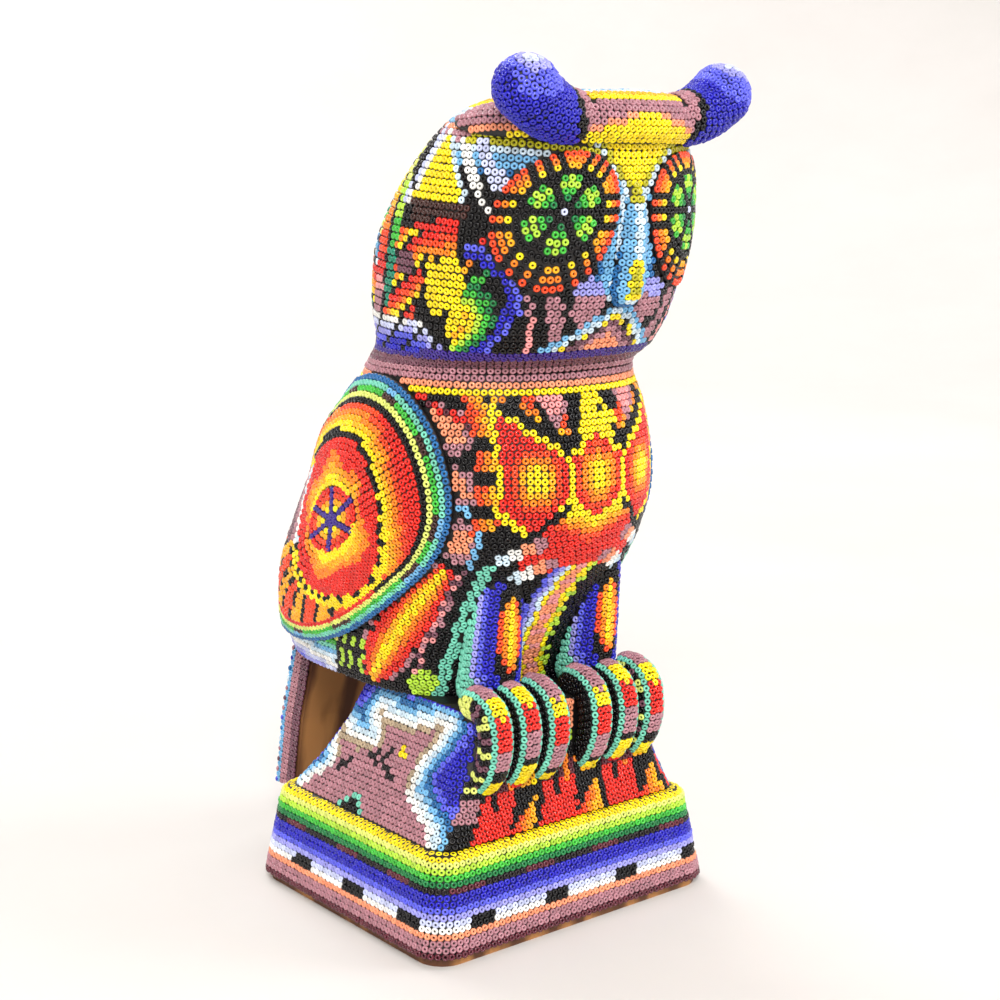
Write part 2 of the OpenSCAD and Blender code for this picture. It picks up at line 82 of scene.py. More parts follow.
# ------------ the owl's surface
def station(v):
    w = np.clip(v, 0, LAST)
    i = np.minimum(LAST - 1, np.floor(w)).astype(int)
    t = (w - i)[..., None]
    a, b, c, d = STATIONS[np.maximum(0, i - 1)], STATIONS[i], STATIONS[i + 1], STATIONS[np.minimum(LAST, i + 2)]
    return 0.5 * (2 * b + (c - a) * t + (2 * a - 5 * b + 4 * c - d) * t * t + (3 * b - a - 3 * c + d) * t ** 3)


def on_owl(u, v):
    u, v = np.broadcast_arrays(np.asarray(u, float), np.asarray(v, float))
    s = station(v)
    ur = np.radians(u)
    b = (s[..., 3] - s[..., 2]) / 2
    n = s[..., 4]
    r = ((np.abs(np.cos(ur)) / s[..., 1]) ** n + (np.abs(np.sin(ur)) / b) ** n) ** (-1 / n)
    x = r * np.cos(ur)
    y = (s[..., 3] + s[..., 2]) / 2 + r * np.sin(ur) + HEAD_FWD
    q = np.radians(s[..., 5])
    return np.stack([x * np.cos(q) - y * np.sin(q), x * np.sin(q) + y * np.cos(q) - HEAD_FWD, s[..., 0]], -1)


def unit(a):
    return a / np.maximum(np.linalg.norm(a, axis=-1, keepdims=True), 1e-9)


def arc_of(points):
    """Length along a polyline at each of its points."""
    return np.concatenate([[0], np.cumsum(np.linalg.norm(np.diff(points, axis=0), axis=1))])


def looped(points):
    """The points, with the first one again at the end."""
    return np.concatenate([points, points[:1]])


def arcs_of(grid):
    """Length down each column of a grid of points."""
    steps = np.linalg.norm(np.diff(grid, axis=0), axis=2)
    return np.concatenate([np.zeros((1, grid.shape[1])), np.cumsum(steps, 0)])


def sample(idx, table):
    """Rows of a table at fractional places."""
    return np.stack([np.interp(idx, np.arange(len(table)), column) for column in np.asarray(table).T], -1)


def along_u(u, v):
    return (on_owl(u + 1, v) - on_owl(u - 1, v)) / 2


def along_v(u, v):
    hi, lo = np.minimum(LAST, v + 0.1), np.maximum(0, v - 0.1)
    return (on_owl(u, hi) - on_owl(u, lo)) / (hi - lo)[..., None]


def owl_normal(u, v):
    u, v = np.broadcast_arrays(np.asarray(u, float), np.asarray(v, float))
    return unit(np.cross(along_u(u, v), along_v(u, v)))


def lifted(u, v, h):
    return on_owl(u, v) + np.asarray(h)[..., None] * owl_normal(u, v)


V_TABLE = np.linspace(0, LAST, 1601)
Z_TABLE = station(V_TABLE)[:, 0]


def inside_owl(p, margin):
    """True for points less than margin outside the owl's bead surface."""
    v = np.interp(p[:, 2], Z_TABLE, V_TABLE)
    s = station(v)
    q = -np.radians(s[:, 5])
    x0, y0 = p[:, 0], p[:, 1] + HEAD_FWD
    x, y = x0 * np.cos(q) - y0 * np.sin(q), x0 * np.sin(q) + y0 * np.cos(q) - HEAD_FWD
    b, n = (s[:, 3] - s[:, 2]) / 2, s[:, 4]
    f = (np.abs(x) / (s[:, 1] + margin)) ** n + (np.abs(y - (s[:, 3] + s[:, 2]) / 2) / (b + margin)) ** n
    return (f < 1) & (p[:, 2] > PERCH_TOP - 0.5) & (p[:, 2] < Z_TABLE[-1] + margin)


# ------------ raised pads on the owl
EYE_V = 11.78
WING_SIZE = (38.0, 0.53 * BODY_H, 0.50 * BODY_H)


class Pad:
    """Domed patch: middle (u, v), half sizes in mm, lean, and rim and rise above the surface."""

    def __init__(self, u, v, size, lean, rim, rise):
        self.u, self.v, self.size, self.lean, self.rim, self.rise = u, v, size, lean, rim, rise
        cu, cv = np.array([float(u)]), np.array([float(v)])
        self.au = np.linalg.norm(along_u(cu, cv))
        self.av = np.linalg.norm(along_v(cu, cv))

    def uv(self, x, y):
        dv = y / self.av
        return self.u + x / self.au + self.lean * np.where(dv < 0, -dv * dv, 0), self.v + dv

    def share(self, x, y):
        return np.sqrt((x / self.size[0]) ** 2 + (y / np.where(y > 0, self.size[1], self.size[2])) ** 2)

    def xy(self, u, v):
        dv = v - self.v
        du = (u - self.u + 180) % 360 - 180 - self.lean * np.where(dv < 0, -dv * dv, 0)
        return du * self.au, dv * self.av

    def height(self, x, y):
        return PAD_GAP + self.rim + (self.rise - self.rim) * (1 - np.minimum(1, self.share(x, y)) ** 2.6)

    def point(self, x, y, drop=0.0):
        u, v = self.uv(x, y)
        return lifted(u, v, self.height(x, y) - drop)

    def normal(self, x, y):
        e = 0.35
        a = self.point(x + e, y) - self.point(x - e, y)
        b = self.point(x, y + e) - self.point(x, y - e)
        return unit(np.cross(a, b))

    def bed(self, x, y):
        return self.point(x, y), self.normal(x, y)

    def oval(self, ang, share, trim=0.0):
        """x and y at an angle round the middle and a share of the way out."""
        y = np.sin(ang)
        x = np.cos(ang) * (self.size[0] - trim) * share
        return x, y * np.where(y > 0, self.size[1], self.size[2]) * share


EYES = {s: Pad(270 + s * 35, EYE_V, (EYE_R,) * 3, 0, 0.7, 1.6) for s in (-1, 1)}
BROW = Pad(270, 14.25, (46.0, 8.2, 5.2), 0, 1.0, 5.0)
WINGS = {s: Pad(270 + s * 98, 4.4, WING_SIZE, -s * 2.1, 1.6, 4.5) for s in (-1, 1)}

# ------------ tubes: ears, beak, legs, toes
STEPS = np.arange(9) / 8.0


def head_turned(p):
    q = math.radians(HEAD_TURN)
    x, y = p[:, 0], p[:, 1]
    out = p.copy()
    out[:, 0] = x * math.cos(q) - y * math.sin(q)
    out[:, 1] = x * math.sin(q) + y * math.cos(q) - HEAD_FWD
    return out


def ear_path(side):
    x1 = EAR_SPAN / 2 - EAR_R
    t = STEPS
    z = NECK_Z + HEAD_H - 7 + 6.5 * t * t
    p = np.stack([side * (19 + (x1 - 19) * t), -0.5 * HEAD_D + 0.5 - t, z, EAR_R * (0.84 + 0.16 * t)], 1)
    return head_turned(p)


def beak_path():
    t = STEPS
    r = 3.2 + 2.6 * t
    y = -(0.545 - 0.035 * t * t) * HEAD_D + r - 1 - 3.5 * np.sqrt(t)
    z = NECK_Z + (0.665 - 0.345 * t) * HEAD_H
    return head_turned(np.stack([0 * t, y, z, r], 1))


LEG_Y = -0.235 * BODY_D
LEG_TOP, LEG_FOOT = PERCH_TOP + 0.38 * BODY_H, PERCH_TOP + 5


def leg_path(side):
    t = STEPS
    return np.stack([0 * t + side * LEG_SPACING / 2, LEG_Y - 3 + 4 * t, LEG_TOP + (LEG_FOOT - LEG_TOP) * t,
                     LEG_R * (0.82 + 0.18 * t)], 1)


TOE_STEP = 2 * TOE_R + 0.3
TOE_FRONT = LEG_Y - 15
TOE_TIP = PERCH_TOP - 18.5


def toe_path(x):
    z, f, r = PERCH_TOP + 3.5, TOE_FRONT, TOE_R
    return np.array([
        [x, LEG_Y - 6.5, z, r], [x, f + 6, z, r], [x, f + 2.4, z - 1.6, r], [x, f + 0.6, z - 4.6, r],
        [x, f, z - 8.5, r], [x, f + 0.5, z - 12.5, r], [x, f + 2, z - 16.5, r],
        [x, f + 4.5, TOE_TIP + 2, 0.96 * r], [x, f + 7, TOE_TIP, 0.9 * r]])


def path_distance(p, path):
    """Distance from each point to the surface of a tube, negative inside."""
    best = np.full(len(p), 1e9)
    for a, b in zip(path[:-1], path[1:]):
        ab = b[:3] - a[:3]
        t = np.clip(((p - a[:3]) @ ab) / (ab @ ab), 0, 1)
        near = a[:3] + t[:, None] * ab
        best = np.minimum(best, np.linalg.norm(p - near, axis=1) - (a[3] + t * (b[3] - a[3])))
    return best


TOES = {}
for side, name in ((1, "left"), (-1, "right")):
    for n, place in ((-side, "inner"), (0, "middle"), (side, "outer")):
        TOES[f"toe_{name}_{place}"] = toe_path(side * LEG_SPACING / 2 + n * TOE_STEP)
LEGS = {"leg_left": leg_path(1), "leg_right": leg_path(-1)}
EARS = {"ear_left": ear_path(1), "ear_right": ear_path(-1)}
BEAK = beak_path()

# ------------ the square base
# height, flare share, perch share (as in the CAD source)
BASE_ROWS = [
    (RIM, 0, 0), (RIM + 0.45 * (PLINTH_H - RIM), 0.42, 0), (PLINTH_H - 1.5, 0.9, 0), (PLINTH_H, 1.15, 0),
    (PLINTH_H + 0.5, 1, 1), (PLINTH_H + 0.3 * PERCH_H, 1, 0.62), (PLINTH_H + 0.65 * PERCH_H, 1, 0.26),
    (PERCH_TOP, 1, 0),
]


def base_size(row):
    z, f, k = row
    inset = FLARE * min(1, f) + (1 if f > 1 else 0)
    if z <= PLINTH_H:
        return [PLINTH_W / 2 - inset, PLINTH_D / 2 - inset, 0, CORNER - inset / 2]
    w0, d0 = PLINTH_W / 2 - FLARE - PERCH_INSET, PLINTH_D / 2 - FLARE - PERCH_INSET
    return [k * w0 + (1 - k) * PERCH_TW / 2, k * d0 + (1 - k) * PERCH_TD / 2, -(1 - k) * PERCH_LEAN, CORNER - 2.5]


BASE_Z = np.array([r[0] for r in BASE_ROWS])
BASE_SIZE = np.array([base_size(r) for r in BASE_ROWS])
EDGE_K, STEP_K, TOP_K = 3, 4, 7  # rows of BASE_ROWS: plinth edge, foot of the perch, top of the perch


def base_at(k):
    """Half width, half depth, lean back, corner radius and height at the row share k."""
    return [np.interp(k, np.arange(len(BASE_Z)), column) for column in (*BASE_SIZE.T, BASE_Z)]


def base_profile(k0, k1, count):
    """Row shares from k0 to k1, with the length up the side of the base to each."""
    k = np.linspace(k0, k1, count)
    at = base_at(k)
    return k, arc_of(np.stack([at[0], at[-1]], 1))


def inside_base(p, margin):
    s = [np.interp(p[:, 2], BASE_Z, BASE_SIZE[:, k]) for k in range(4)]
    qx = np.abs(p[:, 0]) - (s[0] - s[3])
    qy = np.abs(p[:, 1] - s[2]) - (s[1] - s[3])
    d = np.hypot(np.maximum(qx, 0), np.maximum(qy, 0)) + np.minimum(np.maximum(qx, qy), 0) - s[3]
    return (d < margin) & (p[:, 2] < PERCH_TOP + margin) & (p[:, 2] > 0)


def base_outline(k, h, count=480):
    """Closed rounded rectangle at the row share k, counter-clockwise from the middle of +X."""
    *size, z = base_at(k)
    a, b, r = size[0] + h, size[1] + h, max(2, size[3] + h)
    pts, nrm = [], []
    ang = np.radians(np.linspace(0, 90, 25))
    for q, (cx, cy) in enumerate(((a - r, b - r), (-(a - r), b - r), (-(a - r), -(b - r)), (a - r, -(b - r)))):
        t = ang + q * math.pi / 2
        pts.append(np.stack([cx + r * np.cos(t), cy + r * np.sin(t)], 1))
        nrm.append(np.stack([np.cos(t), np.sin(t)], 1))
    pts, nrm = np.concatenate(pts), np.concatenate(nrm)
    start = np.array([[a, 0.0]])
    pts = np.concatenate([start, pts, start])
    nrm = np.concatenate([[[1.0, 0]], nrm, [[1.0, 0]]])
    arc = arc_of(pts)
    t = np.linspace(0, arc[-1], count, endpoint=False)
    xy = np.stack([np.interp(t, arc, pts[:, 0]), np.interp(t, arc, pts[:, 1]) + size[2]], 1)
    nn = np.stack([np.interp(t, arc, nrm[:, 0]), np.interp(t, arc, nrm[:, 1])], 1)
    return np.concatenate([xy, np.full((count, 1), z)], 1), unit(nn)


# ------------ colours of the beads (sRGB)
PALETTE = {
    "black": "08070a", "char": "1d1519", "brown": "40211c", "burgundy": "5e2230", "white": "f2f2ee",
    "lilacw": "ccd3f4", "lilac": "9d9de8", "periwinkle": "5b60e2", "blue": "2220b4", "purple": "3a2388",
    "pale": "cfe4f2", "sky": "72b3df", "steel": "1f67a4", "aqua": "74cdb4", "teal": "178a6c",
    "mauve": "b07b86", "plum": "6f4454", "pink": "ee9a9a", "salmon": "f79a72", "beige": "b39f84",
    "red": "df2317", "vermilion": "f2481a", "orange": "fb8412", "amber": "fcb00c", "yellow": "fbdf08",
    "olive": "b9b414", "lemon": "dde774", "lime": "b3dd3c", "green": "3fb83a", "forest": "14793f",
}
NAMES = list(PALETTE)
(BLACK, CHAR, BROWN, BURGUNDY, WHITE, LILACW, LILAC, PERI, BLUE, PURPLE, PALE, SKY, STEEL, AQUA, TEAL, MAUVE,
 PLUM, PINK, SALMON, BEIGE, RED, VERM, ORANGE, AMBER, YELLOW, OLIVE, LEMON, LIME, GREEN, FOREST) = range(len(NAMES))
FIRE, EMBER = (YELLOW, YELLOW, AMBER, ORANGE, VERM, RED), (AMBER, ORANGE, VERM)
DUSK = (RED, *FIRE[:0:-1])


def linear(h, gain=1.0):
    c = [int(h[i:i + 2], 16) / 255 for i in (0, 2, 4)]
    return [min(1.0, gain * (x / 12.92 if x <= 0.04045 else ((x + 0.055) / 1.055) ** 2.4)) for x in c] + [1.0]


def bands(d, width, colours, beyond=None):
    """Colour by distance: one colour for each step of width, then the last one (or beyond)."""
    i = np.clip(cell(np.asarray(d), width), 0, len(colours))
    table = np.array(list(colours) + [colours[-1] if beyond is None else beyond])
    return table[i]


def put(c, mask, value):
    c[mask] = value[mask] if isinstance(value, np.ndarray) else value


def between(x, low, high):
    return (x > low) & (x < high)


def cell(x, width):
    """Number of the step of this width that x is in."""
    return np.floor(x / width).astype(int)


def line_d(x, y, ax, ay, bx, by):
    """Distance to the segment a-b, and the share along it."""
    dx, dy = bx - ax, by - ay
    t = np.clip(((x - ax) * dx + (y - ay) * dy) / (dx * dx + dy * dy), 0, 1)
    return np.hypot(x - ax - t * dx, y - ay - t * dy), t


def stroke(c, x, y, ax, ay, bx, by, half, value):
    put(c, line_d(x, y, ax, ay, bx, by)[0] < half, value)


def poly_d(x, y, poly):
    """Signed distance to a closed polygon, negative inside."""
    best = np.full(x.shape, 1e9)
    inside = np.zeros(x.shape, bool)
    for (ax, ay), (bx, by) in zip(poly, poly[1:] + poly[:1]):
        best = np.minimum(best, line_d(x, y, ax, ay, bx, by)[0])
        cross = ((ay > y) != (by > y)) & (x < (bx - ax) * (y - ay) / ((by - ay) or 1e-9) + ax)
        inside ^= cross
    return np.where(inside, -best, best)


def lens(x, y, ax, ay, bx, by, half):
    """0 on the middle line of a pointed oval from a to b, 1 at its edge."""
    dx, dy = bx - ax, by - ay
    n = math.hypot(dx, dy)
    t = ((x - ax) * dx + (y - ay) * dy) / (n * n)
    off = np.abs((x - ax) * dy - (y - ay) * dx) / n
    width = half * np.sqrt(np.maximum(1e-6, 1 - (2 * np.clip(t, 0, 1) - 1) ** 2))
    return np.where((t < 0) | (t > 1), 9, off / width)


# ------------ pattern of the torso: w = arc from front, z
def hexagon(x, y, half_w, half_h):
    """1 on the edge of an upright pointed hexagon."""
    x, y = np.abs(x) / half_w, np.abs(y) / half_h
    return np.maximum(x, y + x * 0.45)


def torso_colour(w, z):
    a = np.abs(w)
    c = np.full(w.shape, BLACK)
    # salmon blobs beside the chest, mauve outlines
    for bx, bz, hw, hh in ((43.5, 143, 8.0, 7.4), (41.5, 127.8, 5.4, 6.0), (38.5, 112.5, 5.6, 6.8)):
        d = hexagon(a - bx - (z - bz) * 0.25, z - bz, hw, hh)
        put(c, d < 1.0, MAUVE)
        put(c, d < 0.66, SALMON)
    put(c, between(a, 38, 54) & between(z, 135, 140) & (c == SALMON), MAUVE)
    stroke(c, a, z, 33, 120, 33.5, 104, 1.1, SKY)
    stroke(c, a, z, 42, 123, 34, 119.5, 1.1, SKY)
    d, t = line_d(a, z, 35.5, 144, 50, 151)
    put(c, d < 1.2, np.where(((t * 9).astype(int) % 3) == 0, BURGUNDY, RED))
    # chest: spread wings made of three hexagons, tail fan and head
    chest = ((a < 36.4) & (z > 119)) | ((a < 31) & (z > 99))
    put(c, chest, BLACK)
    wing_top = 139 + np.maximum(0, a - 9) * 0.60 - 0.12 * np.maximum(0, a - 22)
    tab = (cell(a - 0.6, 4.1) % 2 == 0)
    up = z - wing_top
    put(c, between(a, 9, 29) & between(up, 1, 7.5) & tab, bands(up, 2.1, EMBER))
    col = a - 29.5
    tab = (cell(z - 102, 3.0) % 3 != 0)
    put(c, between(col, 0, 6.8) & between(z, 115, 152) & tab, bands(col, 2.0, EMBER))
    put(c, between(col, 0, 6.5) & between(z, 144, 153), bands(col, 2.0, EMBER))
    put(c, (col > -2) & (col <= 0.4) & between(z, 117, 148), YELLOW)
    # lower edge of the wings: tabs below the slanted yellow line
    dn = 117 + np.abs(a - 19) * 0.62 - z
    tab = (cell(a - 19, 4.0) % 2 == 0)
    put(c, between(a, 20, 31) & between(dn, 0, 5.5) & tab, bands(dn, 1.9, EMBER))
    # the three cells, outlined in yellow
    cells = (
        ([(0, 142), (9.6, 135), (9.6, 124), (0, 117), (-9.6, 124), (-9.6, 135)], w, 0.0),
        ([(9.6, 135), (29.5, 149), (29.5, 121), (19.5, 113.5), (9.6, 124)], a, 19.2),
    )
    for poly, x, mid in cells:
        d = poly_d(x, z, poly)
        r = np.hypot(x - mid, (z - 129.7) * 0.85)
        put(c, d < 0, bands(r, 1.5, FIRE))
    for poly, x, mid in cells:
        put(c, np.abs(poly_d(x, z, poly)) < 0.98, YELLOW)
    # tail fan
    fan = (z < 123.5) & (z > 102.0) & (a < 9.6 + (123 - z) * 0.95) & (a < 20)
    clear = (c != YELLOW) & (poly_d(w, z, cells[0][0]) > 0) & (poly_d(a, z, cells[1][0]) > 0)
    put(c, fan & clear, bands(119.5 - z + 0.40 * a, 1.75, FIRE))
    stroke(c, a, z, 10.5, 121.5, 23, 111, 0.95, BLACK)
    # claws at the lower corners of the fan
    for x0, z0, x1, z1 in ((24.5, 107.5, 15.5, 111.5), (18.5, 101.5, 9.5, 105.5)):
        d, t = line_d(a, z, x0, z0, x1, z1)
        put(c, d < 2.1, bands(t, 0.17, (PALE, WHITE, WHITE, SALMON, SALMON, MAUVE)))
    # head of the bird, looking to the owl's left, between two pink triangles
    for x0 in (-12.0, 14.5):
        for tip, wide, colour in ((141.5, 0.52, MAUVE), (144.5, 0.50, PINK)):
            put(c, (np.abs(w - x0) < (z - tip) * wide) & between(z, tip + 0.5, 153), colour)
    head = (np.hypot(w - 1.5, (z - 147.2)) < 4.9) | (hexagon(w - 0.5, z - 141, 6.5, 6.5) < 1)
    head |= line_d(w, z, 4, 147.5, 8.3, 144)[0] < 1.5
    put(c, head & (z < 152.5) & (poly_d(w, z, cells[0][0]) > 0), YELLOW)
    put(c, np.hypot(w - 3.3, z - 148.2) < 1.1, BLACK)
    # band that winds between the legs, scalloped on the owl's left
    x0 = 2.5 - 5.0 * np.sin(np.clip((106 - z) / 42, 0, 1) * math.pi)
    off = w - x0
    belly = (z < 103) & (a < 17)
    put(c, belly & between(off, -3.9, 5.6), YELLOW)
    put(c, belly & between(off, -2.2, 2.4), np.where(cell(z, 1.8) % 3 == 0, PINK, SALMON))
    put(c, belly & between(off, 4.0, 6.6) & (cell(z, 2.2) % 2 == 0), LIME)
    put(c, belly & (off <= -3.9) & (off > -9.5), bands(-3.9 - off, 1.9, (PALE, LILAC, PERI)))
    # thigh: flame between dotted mauve outlines
    leg_edge = between(a, 26, 31.5) & (z < 106)
    put(c, leg_edge, bands(a - 26, 1.9, (AQUA, AQUA, BLACK)))
    f = lens(a, z, 39.0, 105, 51.5, 66, 8.4)
    put(c, (f < 1.32) & (f > 1.0) & (a < 47) & ((z * 0.5).astype(int) % 3 != 0), MAUVE)
    put(c, f < 1.0, bands(f, 0.167, FIRE[1:]))
    d, t = line_d(a, z, 34, 107, 36.5, 68)
    put(c, (d < 1.15) & (z < 104), np.where((t * 20).astype(int) % 2 == 0, PINK, PLUM))
    put(c, (np.abs(f - 1.16) < 0.13) & (a < 60) & ((z * 0.5).astype(int) % 2 == 0), MAUVE)
    put(c, (hexagon(a - 33.5, z - 68.5, 4.2, 4.6) < 1) & (z < 72), LIME)
    for x0 in (56.5, 61.0, 65.5):
        put(c, (np.abs(a - x0) < 1.1) & (z < 80) & (cell(z, 2.3) % 4 != 0), LIME)
    # rump: the wing's border colours run on round the tail root
    e = z - 66 - np.clip((a - 70) * 0.16, 0, 8)
    rump = (a > 68) & (z < 92)
    put(c, rump & (e < 14), bands(14 - e, 2.0, (BLACK, LEMON, GREEN, AQUA, SKY, PALE, WHITE, LILACW, LILAC, PERI,
                                                BLUE)))
    # back: a diamond star in the same fire colours
    q = 131 - a
    rear = (a > 101) & (z > 80)
    d = np.abs(q) / 27 + np.abs(z - 121) / 33
    put(c, rear, BLACK)
    for edge, colour in ((1.42, LEMON), (1.34, GREEN), (1.24, AQUA), (1.15, STEEL), (1.07, BLACK)):
        put(c, rear & (d < edge), colour)
    put(c, rear & (d < 1.0), bands(1.0 - d, 0.085, (*DUSK, BLACK, *DUSK[1:])))
    cross = (np.abs(q) < 1.1) | (np.abs(np.abs(q) - np.abs(z - 121) * 0.8) < 1.1)
    put(c, rear & (np.hypot(q, z - 121) < 10) & cross, PURPLE)
    return c


NECK_LOW, NECK_HIGH, CROWN_Z = 152.2, 162.8, 222.5


def neck_colour(z):
    """Level bands of the neck, from the yellow row up to the purple line."""
    return bands(z - NECK_LOW, 1.75, (YELLOW, SALMON, MAUVE, MAUVE, PLUM, PURPLE))


# ------------ pattern of the head
def head_colour(w, z, under):
    """under is the distance below the brow's lower edge."""
    a = np.abs(w)
    c = np.full(w.shape, BLACK)
    # yellow funnel from the brow and the blue lines that follow it and the beak
    funnel = np.maximum(0, (z - 202.0) * 0.92)
    side = a - np.maximum(funnel, 3.2)
    put(c, (z > 176) & (side < 9) & (side > 0), bands(side, 1.9, (PALE, SKY, SKY, STEEL), BLACK))
    put(c, (z > 176) & (side <= 0), PALE)
    put(c, (z > 201) & (a < funnel), YELLOW)
    put(c, (z > 201) & (a < funnel) & (a > funnel - 1.9), OLIVE)
    visor = (under > -1.5) & (a > funnel + 1.5) & (z > 200) & (a < 62)
    put(c, visor & (under < 6.3), bands(under, 1.8, (OLIVE, PALE, SKY, STEEL), BLACK))
    # cheeks
    for x0, z0, x1, z1, half in ((28.5, 177, 23.5, 163, 1.1), (23.5, 181, 17.0, 165, 2.0)):
        d, t = line_d(a, z, x0, z0, x1, z1)
        put(c, d < half, np.where(t < 0.25, MAUVE, PINK) if half < 1.5 else MAUVE)
    d = hexagon(a - 11.5, z - 176.5, 5.2, 6.6)
    put(c, (d < 1) & (a > 5), np.where(z > 177.5, LILAC, MAUVE))
    # mouth: a chevron over a salmon chin
    m = 177.0 - 0.66 * a - z
    put(c, (a < 23.5) & (m > 0), bands(m, 1.75, (SKY, PALE, YELLOW, PLUM, MAUVE, SALMON)))
    put(c, (a < 23.5) & between(m, 3.5, 5.25) & (cell(a, 2.1) % 3 == 2), BLACK)
    put(c, between(a, 23.5, 34) & (z < 163), BLACK)
    # side of the face: pink patch, dotted white stripes, outlined triangle
    put(c, between(a, 50, 66) & (z > 217), np.where(z > 221, SALMON, MAUVE))
    stroke(c, a, z, 51.5, 217, 42.5, 200, 1.05, WHITE)
    stroke(c, a, z, 45.5, 217, 38.5, 205, 2.05, LILACW)
    d = poly_d(a, z, [(58.5, 219.0), (69.5, 202.5), (50.0, 202.5)])
    put(c, (d < 1.9) & (z > 200.5), np.where(a < 58, PALE, WHITE))
    put(c, d < 0, YELLOW)
    stroke(c, a, z, 61.5, 221, 73, 203, 1.05, LILACW)
    put(c, between(a, 47, 69) & between(z, 197.5, 202.3), BROWN)
    # paw: red top, yellow palm, fingers with black gaps
    palm = (np.hypot((a - 52.5) * 1.1, z - 180.5) < 7.2) | (line_d(a, z, 50, 182, 44, 168)[0] < 2.6)
    fingers = between(a, 49, 66) & between(z, 181, 197.3)
    put(c, fingers, bands(197.5 - z, 2.1, DUSK))
    for x0, top in ((60.5, 195), (55.5, 188)):
        put(c, fingers & (np.abs(a - x0) < 0.9) & (z < top), BLACK)
    put(c, palm & (z < 190), YELLOW)
    d, t = line_d(a, z, 41.5, 193, 47.5, 184)
    put(c, d < 1.1, bands(t, 0.26, (RED, VERM, ORANGE, AMBER)))
    d, t = line_d(a, z, 38.5, 189, 44.5, 179.5)
    put(c, d < 1.1, bands(t, 0.3, (TEAL, FOREST, GREEN, LIME)))
    # curled leaf: yellow inside, green outside, and the blue bow in front of it
    r = np.hypot(a - 47, z - 170.5)
    ang = np.degrees(np.arctan2(z - 170.5, 47 - a))
    front = between(ang, -75, 95)
    put(c, (r < 11.2) & between(ang, -75, 80) & (z < 182),
        bands(r - 2.6, 1.75, (AMBER, YELLOW, LIME, GREEN, FOREST)))
    put(c, r < 3.0, YELLOW)
    bow = np.hypot(a - 48, z - 173.5)
    put(c, front & between(bow, 13.8, 18.0) & (z > 160), np.where(bow > 16.2, PERI, BLUE))
    d, t = line_d(a, z, 38.5, 190, 35.5, 198)
    put(c, (d < 1.0) & ((t * 8).astype(int) % 2 == 0), PERI)
    # slanting fire stripes behind the paw
    s = (a - 56) * 0.75 + (z - 172)
    stripe = between(a, 55, 77) & between(z, 171, 195) & (s > 2) & (a > 62 - (z - 171) * 0.1)
    put(c, stripe, bands(np.mod(s, 9.6), 1.9, (YELLOW, ORANGE, VERM, RED, BLACK)))
    put(c, (np.hypot(a - 68.5, z - 186) < 3.4), PLUM)
    # rear edge: green strip, then yellow to red strip
    put(c, between(a, 73, 77.5) & (z > 174), bands(216 - z, 9, (LEMON, LIME, GREEN, TEAL)))
    put(c, between(a, 77.5, 84) & (z > 172), bands(216 - z, 5.5, (*FIRE, PINK, MAUVE)))
    put(c, (np.abs(a - 77.3) < 0.9) & (z > 172), BLACK)
    # low fan: white to blue with slanting black lines
    fan = (z < 172 - np.maximum(0, 60 - a) * 0.62) & (a > 40)
    put(c, fan, bands(172 - z - np.maximum(0, 60 - a) * 0.3, 1.8, (WHITE, LILACW, LILAC, PERI, BLUE, BLUE, PURPLE)))
    put(c, fan & (np.mod(a + (z - 160) * 0.75, 10.5) < 1.7), BLACK)
    # nape: arrow rows in sunset and leaf colours
    q = 127 - a
    rear = (a > 84) & (z > 172)
    s = z + 0.62 * np.abs(q)
    put(c, rear, bands(np.mod(s - 172, 27), 1.8, (BLACK, *FIRE[1:], BLACK, PALE, SKY, STEEL, BLACK,
                                                  LEMON, LIME, GREEN, TEAL)))
    return c


# ------------ bead rows and their colours
ITEMS = {}


def keep(node, p, n, c, ok=slice(None)):
    """Adds beads, or those that are ok, to the piece that stands for a CAD node."""
    if len(p[ok]):
        ITEMS.setdefault(node, []).append((p[ok], n[ok], np.asarray(c)[ok]))


def share_out(nodes, p, n, c, ok):
    """Gives each bead to the piece named for it."""
    for node in sorted(set(nodes.tolist())):
        keep(node, p, n, c, ok & (nodes == node))


def spaced(points, closed, phase):
    """Places along a dense polyline at an even spacing near the pitch, as fractional index and as length."""
    pts = looped(points) if closed else points
    arc = arc_of(pts)
    n = max(1, int(round(arc[-1] / PITCH)))
    if closed:
        t = (np.arange(n) + phase) * arc[-1] / n
    else:
        inset = 0.5 + (phase > 0) * 0.5
        t = (np.arange(n) + inset) * arc[-1] / n
        t = t[t < arc[-1] - 0.4 * PITCH] if phase > 0 else t
    return np.interp(t, arc, np.arange(len(pts))), t


U_GRID = np.linspace(90, 450, 361)
FRONT_COLUMN = 180


def row_table(v0, v1, rows):
    """Stations of evenly spaced rows from v0 to v1 for every direction of U_GRID."""
    v = np.linspace(v0, v1, 241)
    grid = on_owl(U_GRID[None, :], v[:, None])
    arc = arcs_of(grid)
    want = (np.arange(rows) + 0.5) / rows
    return np.stack([np.interp(want * arc[-1, i], arc[:, i], v) for i in range(len(U_GRID))], 1)


def pads_clear(u, v, pads, margin):
    ok = np.ones(u.shape, bool)
    for pad in pads:
        x, y = pad.xy(u, v)
        m = margin / min(pad.size)
        ok &= pad.share(x, y) > 1 + m
    return ok


def tubes_clear(p, paths, margin):
    ok = np.ones(len(p), bool)
    for path in paths:
        ok &= path_distance(p, path) > margin
    return ok


